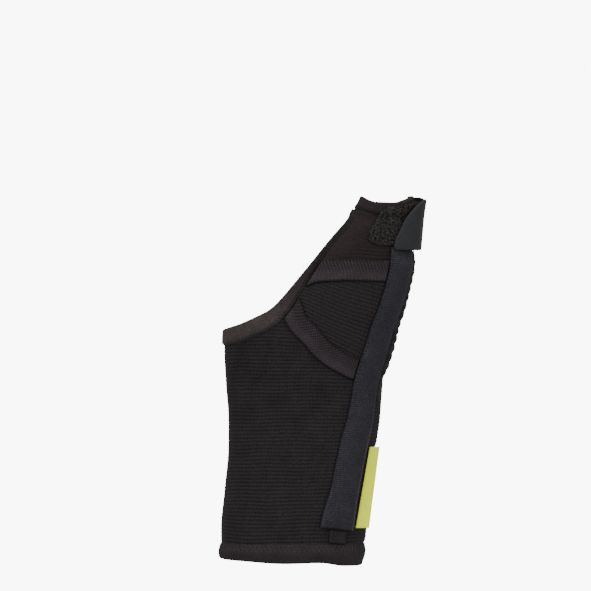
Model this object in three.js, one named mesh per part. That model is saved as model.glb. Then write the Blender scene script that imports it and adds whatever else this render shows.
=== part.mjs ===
// A pull-on thumb splint of ribbed elastic knit, for a right hand, in the form that it has when it is worn.
// Millimetres. +Z runs up the forearm, the palm side faces -Y and the thumb is on the +X side.
// The origin is the middle of the forearm opening.
//
// Every piece follows one form, the skin side of the knit. A place on it has a turn round the arm, in
// radians, and a height z. A turn of 0 is the thumb side, -PI / 2 the palm side, PI / 2 the back of the
// hand, and PI the little finger side. Pieces lie at a distance out from that form.
import * as THREE from 'three'

// Sizes of the whole
const LENGTH = 199
const FOREARM_WIDTH = 72.6
const FOREARM_DEPTH = 56
const PALM_EDGE_HEIGHT = 126.4

// Cloth, and the clearance that pieces keep
const KNIT = 1.2
const GAP = 0.3
const PANEL_GAP = 1.2

// Folded edges
const FOREARM_HEM_WIDTH = 10.8
const PALM_BINDING_WIDTH = 7.6
const WEB_BINDING_WIDTH = 2.4
const THUMB_HEM_WIDTH = 5.4
const FOLD_LEAF = 0.9
const FOLD_CLEAR = 0.6
const THUMB_EDGE_DIP = 4.2
const THUMB_EDGE_DIP_POWER = 1.5
const BINDING_NARROWS_BY = 0.74

// Tapes across the ball of the thumb
const BAND_WIDTH = 11.6
const BAND_THICKNESS = 0.9

// Channel for the stay
const CHANNEL_WIDTH = 15.6
const CHANNEL_HEIGHT = 3.4
const CHANNEL_EDGE = 1.3
const CHANNEL_FOOT = 19.8
const CHANNEL_TAPER = 9
const CHANNEL_CROWN_POWER = 0.6
const TAIL_WIDTH = 9.7

// Overlocked seam beside the channel
const SEAM_WIDTH = 2.6
const SEAM_THICKNESS = 1.5
const SEAM_SCALLOP = 0.7
const SCALLOP_PITCH = 4.4
const SEAM_FOOT = 90.7

// Thumb strap, its tab, and the pile patch that the tab fastens to
const STRAP_WIDTH = 25.7
const STRAP_THICKNESS = 1.6
const STRAP_TOP_DROP = 2.9
const STRAP_SLACK_TOP = 3.5
const STRAP_SLACK_FOOT = 1.3
const STRAP_BACK_RISE = 2
const PATCH_THICKNESS = 1.2

// Turns round the thumb in degrees: where the tab ends and the strap starts, where the strap is sewn down,
// where the patch ends, and where the strap's slack grows and fades
const STRAP_SPLIT = 14
const STRAP_END = 112
const PATCH_END = -14
const SLACK_GROWS = { from: -62, to: -14 }
const SLACK_FADES = { from: 28, to: 88 }

// Label, left blank
const LABEL_LENGTH = 44.5
const LABEL_WIDTH = 6.1
const LABEL_THICKNESS = 0.8
const LABEL_LEAN = 0.49
const LABEL_RISE = 2.2

// How round a section is: 2 is an ellipse, more is squarer
const SQUARENESS = 2.35

// What follows from the sizes
const OUTSIDE = KNIT + GAP
const TURNED_EDGE = GAP + FOLD_LEAF
const STRAP_TOP = LENGTH - STRAP_TOP_DROP
const STRAP_FOOT = STRAP_TOP - STRAP_WIDTH
const STRAP_STANDOFF = OUTSIDE + PATCH_THICKNESS + GAP
const CHANNEL_TOP = STRAP_FOOT + 1
const WEB_HEIGHT = LENGTH - THUMB_HEM_WIDTH - WEB_BINDING_WIDTH - 4 * GAP
const LITTLE_SIDE = Math.PI

// Turn, either way from the thumb side, of the body's corners at the forearm edge
const CORNER_TURN = 1.95

// Steps along each side of the hand's opening, and those at which the lower and the upper tape start
const EDGE_STEPS = 32
const LOWER_TAPE_STEP = 12
const UPPER_TAPE_STEP = 15
const TAPE_STEPS = 12
const BODY_ROWS = 14
const BODY_ROW_PACE = 1.7

// Sections of the form: up is a share of LENGTH, little and thumb are shares of half of FOREARM_WIDTH, and
// palm and back are shares of half of FOREARM_DEPTH. Above the palm edge the little side closes in on the
// web of the thumb.
const SECTIONS = [
  { up: 0.0, little: -1.0, thumb: 0.98, palm: -1.0, back: 1.0 },
  { up: 0.1, little: -1.015, thumb: 1.03, palm: -0.97, back: 0.97 },
  { up: 0.2, little: -0.965, thumb: 1.115, palm: -0.91, back: 0.91 },
  { up: 0.33, little: -0.905, thumb: 1.215, palm: -0.84, back: 0.84 },
  { up: 0.4, little: -0.905, thumb: 1.27, palm: -0.815, back: 0.81 },
  { up: 0.49, little: -0.94, thumb: 1.31, palm: -0.84, back: 0.785 },
  { up: 0.59, little: -0.965, thumb: 1.44, palm: -0.91, back: 0.735 },
  { up: 0.64, little: -0.955, thumb: 1.5, palm: -0.955, back: 0.705 },
  { up: 0.7, little: -0.61, thumb: 1.61, palm: -0.995, back: 0.645 },
  { up: 0.76, little: -0.26, thumb: 1.69, palm: -1.015, back: 0.545 },
  { up: 0.82, little: 0.11, thumb: 1.75, palm: -1.0, back: 0.41 },
  { up: 0.88, little: 0.485, thumb: 1.755, palm: -0.95, back: 0.28 },
  { up: 0.94, little: 0.86, thumb: 1.755, palm: -0.89, back: 0.165 },
  { up: 1.0, little: 1.125, thumb: 1.77, palm: -0.84, back: 0.09 },
  { up: 1.05, little: 1.195, thumb: 1.77, palm: -0.82, back: 0.06 },
]

// Edge of the opening for the hand, from the little finger side to the web: up is a share of that opening's
// height, and across is how far towards the thumb it lies, as a share of the half width of the section.
const HAND_EDGE = [
  { up: 0.0, across: -1.0 },
  { up: 0.04, across: -0.83 },
  { up: 0.09, across: -0.725 },
  { up: 0.16, across: -0.65 },
  { up: 0.26, across: -0.635 },
  { up: 0.365, across: -0.645 },
  { up: 0.52, across: -0.68 },
  { up: 0.68, across: -0.735 },
  { up: 0.83, across: -0.8 },
  { up: 0.94, across: -0.875 },
  { up: 1.0, across: -1.0 },
]

// Middle lines on the palm side: up is a share of LENGTH, and across a share of the section's half width.
const LOWER_BAND_LINE = [
  { up: 0.737, across: -0.645 },
  { up: 0.722, across: -0.56 },
  { up: 0.697, across: -0.42 },
  { up: 0.667, across: -0.245 },
  { up: 0.635, across: -0.055 },
  { up: 0.587, across: 0.155 },
  { up: 0.556, across: 0.369 },
  { up: 0.535, across: 0.581 },
  { up: 0.523, across: 0.77 },
]
const UPPER_BAND_LINE = [
  { up: 0.786, across: -0.67 },
  { up: 0.799, across: -0.57 },
  { up: 0.804, across: -0.35 },
  { up: 0.805, across: -0.1 },
  { up: 0.804, across: 0.17 },
  { up: 0.802, across: 0.45 },
  { up: 0.8, across: 0.8 },
]
const CHANNEL_LINE = [
  { up: 0.0, across: 0.665 },
  { up: 0.105, across: 0.66 },
  { up: 0.206, across: 0.67 },
  { up: 0.315, across: 0.705 },
  { up: 0.382, across: 0.75 },
  { up: 0.45, across: 0.79 },
  { up: 0.545, across: 0.825 },
  { up: 0.64, across: 0.86 },
  { up: 0.762, across: 0.855 },
  { up: 0.86, across: 0.835 },
  { up: 1.05, across: 0.82 },
]

// Left edge of the pile patch, and front edge of the tab, with the turn in degrees.
const PATCH_EDGE = [
  { rise: 0.0, across: 0.32 },
  { rise: 0.12, across: 0.14 },
  { rise: 0.5, across: 0.0 },
  { rise: 0.8, across: 0.14 },
  { rise: 1.0, across: 0.38 },
]
const TAB_EDGE = [
  { rise: 0.0, degrees: -53 },
  { rise: 0.2, degrees: -56 },
  { rise: 0.55, degrees: -47 },
  { rise: 0.84, degrees: -34 },
  { rise: 1.0, degrees: -18 },
]

// How far the forearm edge rises round the arm, as a share of the hem's width, from the little finger
// side over the palm side to the back.
const FOREARM_EDGE = [
  { degrees: -180, rise: 0.36 },
  { degrees: -130, rise: 0.25 },
  { degrees: -95, rise: 0.14 },
  { degrees: -66, rise: 0.18 },
  { degrees: -42, rise: 0.02 },
  { degrees: -15, rise: 0.0 },
  { degrees: 15, rise: 0.1 },
  { degrees: 90, rise: 0.2 },
  { degrees: 180, rise: 0.36 },
]

const mix = (a, b, share) => a + (b - a) * share
const smooth = share => {
  const held = Math.min(1, Math.max(0, share))
  return held * held * (3 - 2 * held)
}

// Reads a table between its rows, on a smooth curve that never swings past two neighbouring rows.
function read(table, key, column, at) {
  const last = table.length - 1
  const held = Math.min(Math.max(at, table[0][key]), table[last][key])
  let row = 0
  while (row < last - 1 && table[row + 1][key] < held) row += 1
  const slope = i => (table[i + 1][column] - table[i][column]) / (table[i + 1][key] - table[i][key])
  const bend = i => {
    if (i === 0 || i === last) return slope(i === 0 ? 0 : last - 1)
    const before = slope(i - 1)
    const after = slope(i)
    return before * after <= 0 ? 0 : 2 * before * after / (before + after)
  }
  const run = table[row + 1][key] - table[row][key]
  const t = (held - table[row][key]) / run
  return table[row][column] * (1 + 2 * t) * (1 - t) ** 2 + bend(row) * run * t * (1 - t) ** 2
    + table[row + 1][column] * t * t * (3 - 2 * t) + bend(row + 1) * run * t * t * (t - 1)
}

function section(z) {
  const up = z / LENGTH
  const little = read(SECTIONS, 'up', 'little', up) * FOREARM_WIDTH / 2
  const thumb = read(SECTIONS, 'up', 'thumb', up) * FOREARM_WIDTH / 2
  const palm = read(SECTIONS, 'up', 'palm', up) * FOREARM_DEPTH / 2
  const back = read(SECTIONS, 'up', 'back', up) * FOREARM_DEPTH / 2
  return {
    x: (little + thumb) / 2,
    y: (palm + back) / 2,
    halfWidth: (thumb - little) / 2,
    halfDepth: (back - palm) / 2,
  }
}

function onForm(turn, z) {
  const { x, y, halfWidth, halfDepth } = section(z)
  const cos = Math.cos(turn)
  const sin = Math.sin(turn)
  const reach = (Math.abs(cos) ** SQUARENESS + Math.abs(sin) ** SQUARENESS) ** (-1 / SQUARENESS)
  return new THREE.Vector3(x + halfWidth * cos * reach, y + halfDepth * sin * reach, z)
}

// The place on the palm side that lies across the section by a share of its half width.
function palmTurn(across) {
  const held = Math.min(1, Math.max(-1, across))
  const depth = (1 - Math.abs(held) ** SQUARENESS) ** (1 / SQUARENESS)
  return Math.atan2(-depth, held)
}

function slopes({ turn, z }) {
  const step = 0.002
  const round = onForm(turn + step, z).sub(onForm(turn - step, z)).divideScalar(2 * step)
  const up = onForm(turn, z + step).sub(onForm(turn, z - step)).divideScalar(2 * step)
  return { round, up, normal: round.clone().cross(up).normalize() }
}

const lifted = (place, out) => onForm(place.turn, place.z).addScaledVector(slopes(place).normal, out)

// Walks over the form from a place, in a direction in space, for a distance.
function walk(place, direction, distance) {
  const steps = Math.max(1, Math.ceil(Math.abs(distance) / 1.5))
  const heading = direction.clone()
  let { turn, z } = place
  for (let i = 0; i < steps; i += 1) {
    const { round, up, normal } = slopes({ turn, z })
    heading.addScaledVector(normal, -heading.dot(normal)).normalize()
    const a = round.dot(round)
    const b = round.dot(up)
    const c = up.dot(up)
    const alongRound = heading.dot(round)
    const alongUp = heading.dot(up)
    const scale = distance / steps / (a * c - b * b)
    turn += scale * (c * alongRound - b * alongUp)
    z += scale * (a * alongUp - b * alongRound)
  }
  return { turn, z }
}

// A sheet is a list of places and the triangles between them. Places that fall together become one.
function joined(sheets) {
  const places = []
  const triangles = []
  const known = new Map()
  for (const sheet of sheets) {
    const number = sheet.places.map(place => {
      const point = onForm(place.turn, place.z)
      const key = point.toArray().map(value => Math.round(value * 1000)).join(' ')
      if (!known.has(key)) known.set(key, places.push(place) - 1)
      return known.get(key)
    })
    for (const corners of sheet.triangles) {
      const [a, b, c] = corners.map(corner => number[corner])
      if (a !== b && b !== c && c !== a) triangles.push([a, b, c])
    }
  }
  return { places, triangles }
}

function grid(columns, rows, place) {
  const places = []
  const triangles = []
  for (let row = 0; row <= rows; row += 1) {
    for (let column = 0; column <= columns; column += 1) {
      places.push(place(column / columns, row / rows))
      if (row < rows && column < columns) {
        const a = row * (columns + 1) + column
        const b = a + columns + 1
        triangles.push([a, a + 1, b + 1], [a, b + 1, b])
      }
    }
  }
  return joined([{ places, triangles }])
}

// A patch between four edges, each a function of a share along it. Its rows keep a pace from foot to top.
function patch(columns, rows, { foot, top, first, last }, pace = share => share) {
  const blend = (u, v, key) => mix(foot(u)[key], top(u)[key], v) + mix(first(v)[key], last(v)[key], u)
    - mix(mix(foot(0)[key], foot(1)[key], u), mix(top(0)[key], top(1)[key], u), v)
  return grid(columns, rows, (u, row) => {
    const v = pace(row)
    return { turn: blend(u, v, 'turn'), z: blend(u, v, 'z') }
  })
}

function mesh(name, points, triangles, finish) {
  const geometry = new THREE.BufferGeometry()
  const values = points.flatMap(point => point.toArray())
  geometry.setAttribute('position', new THREE.Float32BufferAttribute(values, 3))
  let volume = 0
  for (const [a, b, c] of triangles) volume += points[a].dot(points[b].clone().cross(points[c]))
  geometry.setIndex(triangles.flatMap(([a, b, c]) => (volume > 0 ? [a, b, c] : [a, c, b])))
  geometry.computeVertexNormals()
  const result = new THREE.Mesh(geometry, new THREE.MeshStandardMaterial(finish))
  result.name = name
  return result
}

// Gives a sheet its thickness, from one distance out from the form to another, and closes its edges.
function thickened(name, sheet, from, to, finish) {
  const amount = (value, place) => (typeof value === 'function' ? value(place) : value)
  const outer = sheet.places.map(place => lifted(place, amount(to, place)))
  const inner = sheet.places.map(place => lifted(place, amount(from, place)))
  const count = outer.length
  const triangles = [...sheet.triangles]
  const edges = new Set(sheet.triangles.flatMap(([a, b, c]) => [`${a} ${b}`, `${b} ${c}`, `${c} ${a}`]))
  for (const [a, b, c] of sheet.triangles) {
    triangles.push([a + count, c + count, b + count])
    for (const [p, q] of [[a, b], [b, c], [c, a]]) {
      if (!edges.has(`${q} ${p}`)) triangles.push([q, p, p + count], [q, p + count, q + count])
    }
  }
  return mesh(name, [...outer, ...inner], triangles, finish)
}

// A strip of cloth along a line of places, with its width across the form.
function strip(steps, shares, line, halfWidth) {
  const nudge = 0.01
  const sheet = grid(shares.length - 1, steps, (u, v) => ({ turn: u, z: v }))
  const places = sheet.places.map(({ turn: u, z: v }) => {
    const place = line(v)
    const ahead = line(Math.min(1, v + nudge))
    const behind = line(Math.max(0, v - nudge))
    const heading = onForm(ahead.turn, ahead.z).sub(onForm(behind.turn, behind.z)).normalize()
    const side = slopes(place).normal.cross(heading).negate()
    const across = shares[Math.round(u * (shares.length - 1))]
    return { ...walk(place, side, across * halfWidth(v, across)), along: v, across }
  })
  return { places, triangles: sheet.triangles }
}

// A folded edge: one leaf outside the knit, one inside, and the fold past the knit's edge.
function folded(name, steps, edge, width, side, finish, leafSteps = 1) {
  const nudge = 0.004
  const points = []
  const triangles = []
  const leaf = (from, to, out) => Array.from({ length: leafSteps + 1 }, (_, i) => ({
    in: mix(from, to, i / leafSteps),
    out,
  }))
  const profile = v => [
    ...leaf(width(v), -GAP, KNIT + FOLD_CLEAR + FOLD_LEAF),
    { in: -TURNED_EDGE, out: KNIT / 2 },
    ...leaf(-GAP, width(v), -FOLD_CLEAR - FOLD_LEAF),
    ...leaf(width(v), -GAP, -FOLD_CLEAR),
    ...leaf(-GAP, width(v), KNIT + FOLD_CLEAR),
  ]
  const count = profile(0).length
  for (let step = 0; step < steps; step += 1) {
    const v = step / steps
    const place = edge(v)
    const ahead = edge((v + nudge) % 1)
    const behind = edge((v + 1 - nudge) % 1)
    const heading = onForm(ahead.turn, ahead.z).sub(onForm(behind.turn, behind.z)).normalize()
    const inward = slopes(place).normal.cross(heading).multiplyScalar(side)
    for (const corner of profile(v)) {
      points.push(lifted(walk(place, inward, corner.in), corner.out))
    }
    for (let i = 0; i < count; i += 1) {
      const a = step * count + i
      const b = step * count + (i + 1) % count
      const c = ((step + 1) % steps) * count + i
      const d = ((step + 1) % steps) * count + (i + 1) % count
      triangles.push([a, b, d], [a, d, c])
    }
  }
  return mesh(name, points, triangles, finish)
}

// Edges of the knit
const thumbEdgeHeight = turn => LENGTH - TURNED_EDGE
  - THUMB_EDGE_DIP * Math.abs(Math.sin(turn)) ** THUMB_EDGE_DIP_POWER
const thumbEdge = turn => ({ turn, z: thumbEdgeHeight(turn) })
const forearmRise = turn => FOREARM_HEM_WIDTH
  * read(FOREARM_EDGE, 'degrees', 'rise', THREE.MathUtils.radToDeg(turn))
const forearmEdge = turn => ({ turn, z: TURNED_EDGE + forearmRise(turn) })
const channelAt = z => ({ turn: palmTurn(read(CHANNEL_LINE, 'up', 'across', z / LENGTH)), z })

// Half of the hand's opening on the palm side, from the little finger side to the web.
function handEdge(share) {
  const up = (1 - Math.cos(Math.PI * share)) / 2
  const across = read(HAND_EDGE, 'up', 'across', up)
  return { turn: palmTurn(across), z: mix(PALM_EDGE_HEIGHT, WEB_HEIGHT, up) }
}

// A place along a line's table, where each row takes the same share of the line.
function alongTable(table, share) {
  const numbered = table.map((row, i) => ({ ...row, step: i / (table.length - 1) }))
  const across = read(numbered, 'step', 'across', share)
  return { turn: palmTurn(across), z: read(numbered, 'step', 'up', share) * LENGTH }
}

const straightLine = (from, to) => share => ({
  turn: mix(from.turn, to.turn, share),
  z: mix(from.z, to.z, share),
})

// Moves a line over the form, square to itself, to its left as seen from outside.
const besideLine = (line, distance) => share => {
  const nudge = 0.004
  const ahead = line(Math.min(1, share + nudge))
  const behind = line(Math.max(0, share - nudge))
  const heading = onForm(ahead.turn, ahead.z).sub(onForm(behind.turn, behind.z)).normalize()
  const place = line(share)
  return walk(place, slopes(place).normal.cross(heading), distance)
}

// Shifts a place so that the line it belongs to ends at a corner.
const bent = (place, end, corner, share) => ({
  turn: place.turn + (corner.turn - end.turn) * share,
  z: place.z + (corner.z - end.z) * share,
})

const KNIT_BLACK = { color: 0x252325, roughness: 0.92, metalness: 0 }
const GUSSET_BLACK = { color: 0x242223, roughness: 0.92, metalness: 0 }
const THUMB_BLACK = { color: 0x2b2525, roughness: 0.95, metalness: 0 }
const TAPE_BLACK = { color: 0x302b2e, roughness: 0.88, metalness: 0 }
const HEM_BLACK = { color: 0x2a2729, roughness: 0.9, metalness: 0 }
const BINDING_BLACK = { color: 0x332d2c, roughness: 0.9, metalness: 0 }
const CHANNEL_BLACK = { color: 0x2b2b2e, roughness: 0.85, metalness: 0 }
const TAB_GREY = { color: 0x2e3032, roughness: 0.8, metalness: 0 }
const PILE_BLACK = { color: 0x272524, roughness: 1, metalness: 0 }
const LABEL_LIME = { color: 0xd7e15a, roughness: 0.7, metalness: 0 }

// Corners that panels share
const bandStart = LOWER_TAPE_STEP / EDGE_STEPS
const gussetEnd = UPPER_TAPE_STEP / EDGE_STEPS
const bandFoot = LOWER_BAND_LINE[LOWER_BAND_LINE.length - 1].up * LENGTH
const bandHead = UPPER_BAND_LINE[UPPER_BAND_LINE.length - 1].up * LENGTH
const seamTop = thumbEdge(channelAt(LENGTH).turn)

// A tape's middle line, moved at its ends so that it meets the hand's opening and the channel's middle line.
function tapeLine(table, start) {
  const end = channelAt(table[table.length - 1].up * LENGTH)
  const first = alongTable(table, 0)
  const last = alongTable(table, 1)
  return share => {
    const { turn, z } = alongTable(table, share)
    return {
      turn: turn + mix(start.turn - first.turn, end.turn - last.turn, share),
      z: z + mix(start.z - first.z, end.z - last.z, share),
    }
  }
}
const lowerBandLine = tapeLine(LOWER_BAND_LINE, handEdge(bandStart))
const upperBandLine = tapeLine(UPPER_BAND_LINE, handEdge(gussetEnd))

// Knit from the forearm edge up to the hand's opening and the lower band, and the whole back.
function sleeveBody() {
  const columns = { edge: LOWER_TAPE_STEP, band: TAPE_STEPS, back: 16 }
  const webRows = 2
  const edgeRows = EDGE_STEPS - LOWER_TAPE_STEP
  const backRows = edgeRows + webRows
  const closerAtTop = share => 1 - (1 - share) ** BODY_ROW_PACE
  const mirrored = place => ({ turn: -place.turn, z: place.z })
  const palmEdge = share => handEdge(share * bandStart)
  const palmCorner = forearmEdge(-CORNER_TURN)
  const backCorner = forearmEdge(CORNER_TURN)
  const channelCorner = forearmEdge(channelAt(0).turn)
  const alongForearm = (from, to) => share => forearmEdge(mix(from.turn, to.turn, share))
  const seamStart = channelAt(bandFoot)
  const backMiddle = share => ({
    turn: mix(seamStart.turn, -palmEdge(1).turn, share),
    z: mix(bandFoot, palmEdge(1).z, smooth(share)),
  })
  const littleSide = { foot: forearmEdge(-LITTLE_SIDE), top: palmEdge(0) }
  const alongChannel = share => channelAt(mix(channelCorner.z, bandFoot, share))
  const palmLittle = {
    foot: alongForearm(littleSide.foot, palmCorner),
    top: palmEdge,
    first: straightLine(littleSide.foot, littleSide.top),
    last: straightLine(palmCorner, palmEdge(1)),
  }
  const palmMiddle = {
    foot: alongForearm(palmCorner, channelCorner),
    top: lowerBandLine,
    first: palmLittle.last,
    last: alongChannel,
  }
  const backMiddlePatch = {
    foot: alongForearm(channelCorner, backCorner),
    top: backMiddle,
    first: alongChannel,
    last: straightLine(backCorner, mirrored(palmEdge(1))),
  }
  const backLittle = {
    foot: alongForearm(backCorner, mirrored(littleSide.foot)),
    top: share => mirrored(palmEdge(1 - share)),
    first: backMiddlePatch.last,
    last: share => mirrored(palmLittle.first(share)),
  }
  const webStart = edgeRows / backRows
  const web = straightLine({ turn: LITTLE_SIDE, z: WEB_HEIGHT }, thumbEdge(LITTLE_SIDE))
  const backUpper = {
    foot: backMiddle,
    top: share => thumbEdge(mix(seamTop.turn, LITTLE_SIDE, share)),
    first: share => channelAt(mix(bandFoot, seamTop.z, share)),
    last: share => (share < webStart
      ? mirrored(handEdge(mix(bandStart, 1, share / webStart)))
      : web((share - webStart) / (1 - webStart))),
  }
  const sheet = joined([
    patch(columns.edge, BODY_ROWS, palmLittle, closerAtTop),
    patch(columns.band, BODY_ROWS, palmMiddle, closerAtTop),
    patch(columns.back, BODY_ROWS, backMiddlePatch, closerAtTop),
    patch(columns.edge, BODY_ROWS, backLittle, closerAtTop),
    patch(columns.back, backRows, backUpper),
  ])
  return thickened('sleeve_body', sheet, 0, KNIT, KNIT_BLACK)
}

// Ribbed panel between the two tapes.
function thenarGusset() {
  const rows = 8
  const foot = besideLine(lowerBandLine, PANEL_GAP)
  const channel = share => channelAt(mix(bandFoot, bandHead - PANEL_GAP, share))
  const side = besideLine(channel, PANEL_GAP)
  const top = besideLine(upperBandLine, -PANEL_GAP / 2)
  const footCorner = { turn: side(0).turn, z: foot(1).z }
  const lowEdge = share => bent(foot(share), foot(1), footCorner, share)
  const highEdge = share => bent(top(share), top(1), side(1), share)
  const sheet = patch(TAPE_STEPS, rows, {
    foot: lowEdge,
    top: highEdge,
    first: straightLine(lowEdge(0), highEdge(0)),
    last: straightLine(lowEdge(1), highEdge(1)),
  })
  return thickened('thenar_gusset', sheet, 0, KNIT, GUSSET_BLACK)
}

// Smooth knit panel over the front of the thumb, up to the thumb's opening.
function thumbPanel() {
  const rows = 12
  const webStart = 0.84
  const side = besideLine(share => channelAt(mix(bandHead, seamTop.z, share)), PANEL_GAP)
  const foot = besideLine(upperBandLine, PANEL_GAP / 2)
  const webTurn = -LITTLE_SIDE + PANEL_GAP / section(WEB_HEIGHT).halfDepth
  const web = straightLine({ turn: webTurn, z: WEB_HEIGHT }, thumbEdge(webTurn))
  const edge = share => {
    const { turn, z } = handEdge(mix(gussetEnd, 1, share))
    return { turn: Math.max(turn, webTurn), z }
  }
  const sheet = patch(TAPE_STEPS, rows, {
    foot: share => bent(foot(share), foot(1), side(0), share),
    top: share => thumbEdge(mix(webTurn, side(1).turn, share)),
    first: share => (share < webStart ? edge(share / webStart) : web((share - webStart) / (1 - webStart))),
    last: share => bent(side(share), side(1), thumbEdge(side(1).turn), share),
  })
  return thickened('thumb_panel', sheet, 0, KNIT, THUMB_BLACK)
}

// Turned hem round the forearm, level along its stitched top.
function forearmHem() {
  const steps = 44
  const turnAt = share => mix(-LITTLE_SIDE, LITTLE_SIDE, share)
  const width = share => FOREARM_HEM_WIDTH - forearmRise(turnAt(share))
  return folded('forearm_hem', steps, share => forearmEdge(turnAt(share)), width, 1, HEM_BLACK)
}

// Turned hem round the thumb's opening.
function thumbHem() {
  const steps = 36
  const edge = share => thumbEdge(mix(-LITTLE_SIDE, LITTLE_SIDE, share))
  return folded('thumb_hem', steps, edge, () => THUMB_HEM_WIDTH, -1, BINDING_BLACK)
}

// The binding narrows from the little finger side up to a share of the opening's height.
const bindingWidth = up => mix(PALM_BINDING_WIDTH, WEB_BINDING_WIDTH, smooth(up / BINDING_NARROWS_BY))

// Binding round the opening for the hand, up the palm side, over the web and down the back.
function palmBinding() {
  const leafSteps = 2
  const round = share => {
    const place = share < 0.5 ? handEdge(share * 2) : handEdge(2 - share * 2)
    return { turn: share < 0.5 ? place.turn : -place.turn, z: place.z }
  }
  const width = share => bindingWidth((round(share).z - PALM_EDGE_HEIGHT) / (WEB_HEIGHT - PALM_EDGE_HEIGHT))
  return folded('palm_binding', 2 * EDGE_STEPS, round, width, -1, BINDING_BLACK, leafSteps)
}

// How far a place lies from the hand's opening and from the channel's middle line.
const pointsAlong = line => Array.from({ length: 200 }, (_, i) => {
  const { turn, z } = line(i / 199)
  return onForm(turn, z)
})
const handEdgePoints = pointsAlong(handEdge)
const channelPoints = pointsAlong(share => channelAt(share * LENGTH))
const nearest = (points, { turn, z }) => {
  const here = onForm(turn, z)
  return Math.min(...points.map(point => point.distanceTo(here)))
}

// A tape from the binding to the channel, whose ends follow them with a clearance.
function tape(name, line) {
  const columns = 16
  const rows = 2
  const halvings = 24
  const end = (from, to, clear) => {
    let [near, far] = [from, to]
    for (let i = 0; i < halvings; i += 1) {
      const middle = (near + far) / 2
      if (clear(middle)) far = middle
      else near = middle
    }
    return far
  }
  const edgeLine = side => {
    const edge = besideLine(line, side * BAND_WIDTH / 2)
    const clearOfBinding = share => {
      const place = edge(share)
      const up = Math.max(0, (place.z - PALM_EDGE_HEIGHT) / (WEB_HEIGHT - PALM_EDGE_HEIGHT))
      return nearest(handEdgePoints, place) > bindingWidth(up) + 2 * GAP
    }
    const clearOfChannel = share => nearest(channelPoints, edge(share)) > CHANNEL_WIDTH / 2 + 2 * GAP
    const start = end(0, 0.6, clearOfBinding)
    const stop = end(1, 0.4, clearOfChannel)
    return share => edge(mix(start, stop, share))
  }
  const low = edgeLine(-1)
  const high = edgeLine(1)
  const sheet = patch(columns, rows, {
    foot: low,
    top: high,
    first: straightLine(low(0), high(0)),
    last: straightLine(low(1), high(1)),
  })
  return thickened(name, sheet, OUTSIDE, OUTSIDE + BAND_THICKNESS, TAPE_BLACK)
}

// Webbing channel, puffed up over the stay inside it, thinner where its top goes under the tab.
function stayChannel() {
  const steps = 28
  const shares = [-1, -0.86, -0.5, 0, 0.5, 0.86, 1]
  const line = share => channelAt(mix(CHANNEL_FOOT, CHANNEL_TOP, share))
  const sheet = strip(steps, shares, line, () => CHANNEL_WIDTH / 2)
  const height = ({ along, across }) => {
    const below = (1 - along) * (CHANNEL_TOP - CHANNEL_FOOT)
    const crown = mix(PATCH_THICKNESS, CHANNEL_HEIGHT, smooth(below / CHANNEL_TAPER))
    return mix(Math.min(CHANNEL_EDGE, crown), crown, (1 - across ** 2) ** CHANNEL_CROWN_POWER)
  }
  return thickened('stay_channel', sheet, OUTSIDE, place => OUTSIDE + height(place), CHANNEL_BLACK)
}

// End of the channel's inner tape, between the channel's foot and the forearm hem.
function channelTail() {
  const steps = 3
  const shares = [-1, -0.3, 0.3, 1]
  const foot = TURNED_EDGE + FOREARM_HEM_WIDTH + 2 * GAP
  const line = share => channelAt(mix(foot, CHANNEL_FOOT - GAP, share))
  const sheet = strip(steps, shares, line, () => TAIL_WIDTH / 2)
  return thickened('channel_tail', sheet, OUTSIDE, OUTSIDE + BAND_THICKNESS, TAPE_BLACK)
}

// Overlocked seam along the channel's outer side, with a scalloped outer edge.
function sideSeam() {
  const stepsPerScallop = 3
  const scallops = Math.round((CHANNEL_TOP - SEAM_FOOT) / SCALLOP_PITCH)
  const aside = CHANNEL_WIDTH / 2 + 2 * GAP + SEAM_WIDTH / 2
  const line = besideLine(share => channelAt(mix(SEAM_FOOT, CHANNEL_TOP - 2 * GAP, share)), -aside)
  const outward = (share, across) => SEAM_WIDTH / 2
    + (across > 0 ? SEAM_SCALLOP * Math.abs(Math.sin(Math.PI * share * scallops)) : 0)
  const sheet = strip(scallops * stepsPerScallop, [-1, 1], line, outward)
  return thickened('side_seam', sheet, OUTSIDE, OUTSIDE + SEAM_THICKNESS, HEM_BLACK)
}

// How far the strap stands off the form: close at both ends, slack on the thumb side, most at its top.
function strapStandoff({ turn, z }) {
  const slack = mix(STRAP_SLACK_FOOT, STRAP_SLACK_TOP, (z - STRAP_FOOT) / STRAP_WIDTH)
  const within = ({ from, to }) => smooth((THREE.MathUtils.radToDeg(turn) - from) / (to - from))
  return STRAP_STANDOFF + slack * within(SLACK_GROWS) * (1 - within(SLACK_FADES))
}
const strapOutside = place => strapStandoff(place) + STRAP_THICKNESS

// Strap from its stitching behind the thumb to where the tab starts on the thumb side.
function thumbStrap() {
  const columns = 10
  const rows = 7
  const sheet = grid(columns, rows, (u, v) => ({
    turn: THREE.MathUtils.degToRad(mix(STRAP_SPLIT, STRAP_END, u)),
    z: mix(STRAP_FOOT, STRAP_TOP, v) + STRAP_BACK_RISE * smooth(2 * u),
  }))
  return thickened('thumb_strap', sheet, strapStandoff, strapOutside, HEM_BLACK)
}

// Rounded tab at the strap's end, which lies over the pile patch.
function strapTab() {
  const columns = 10
  const rows = 9
  const start = THREE.MathUtils.degToRad(STRAP_SPLIT) - 1.5 * GAP / section(STRAP_FOOT).halfDepth
  const sheet = grid(columns, rows, (u, v) => {
    const edge = THREE.MathUtils.degToRad(read(TAB_EDGE, 'rise', 'degrees', v))
    return { turn: mix(edge, start, u), z: mix(STRAP_FOOT, STRAP_TOP, v) }
  })
  return thickened('strap_tab', sheet, strapStandoff, strapOutside, TAB_GREY)
}

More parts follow.
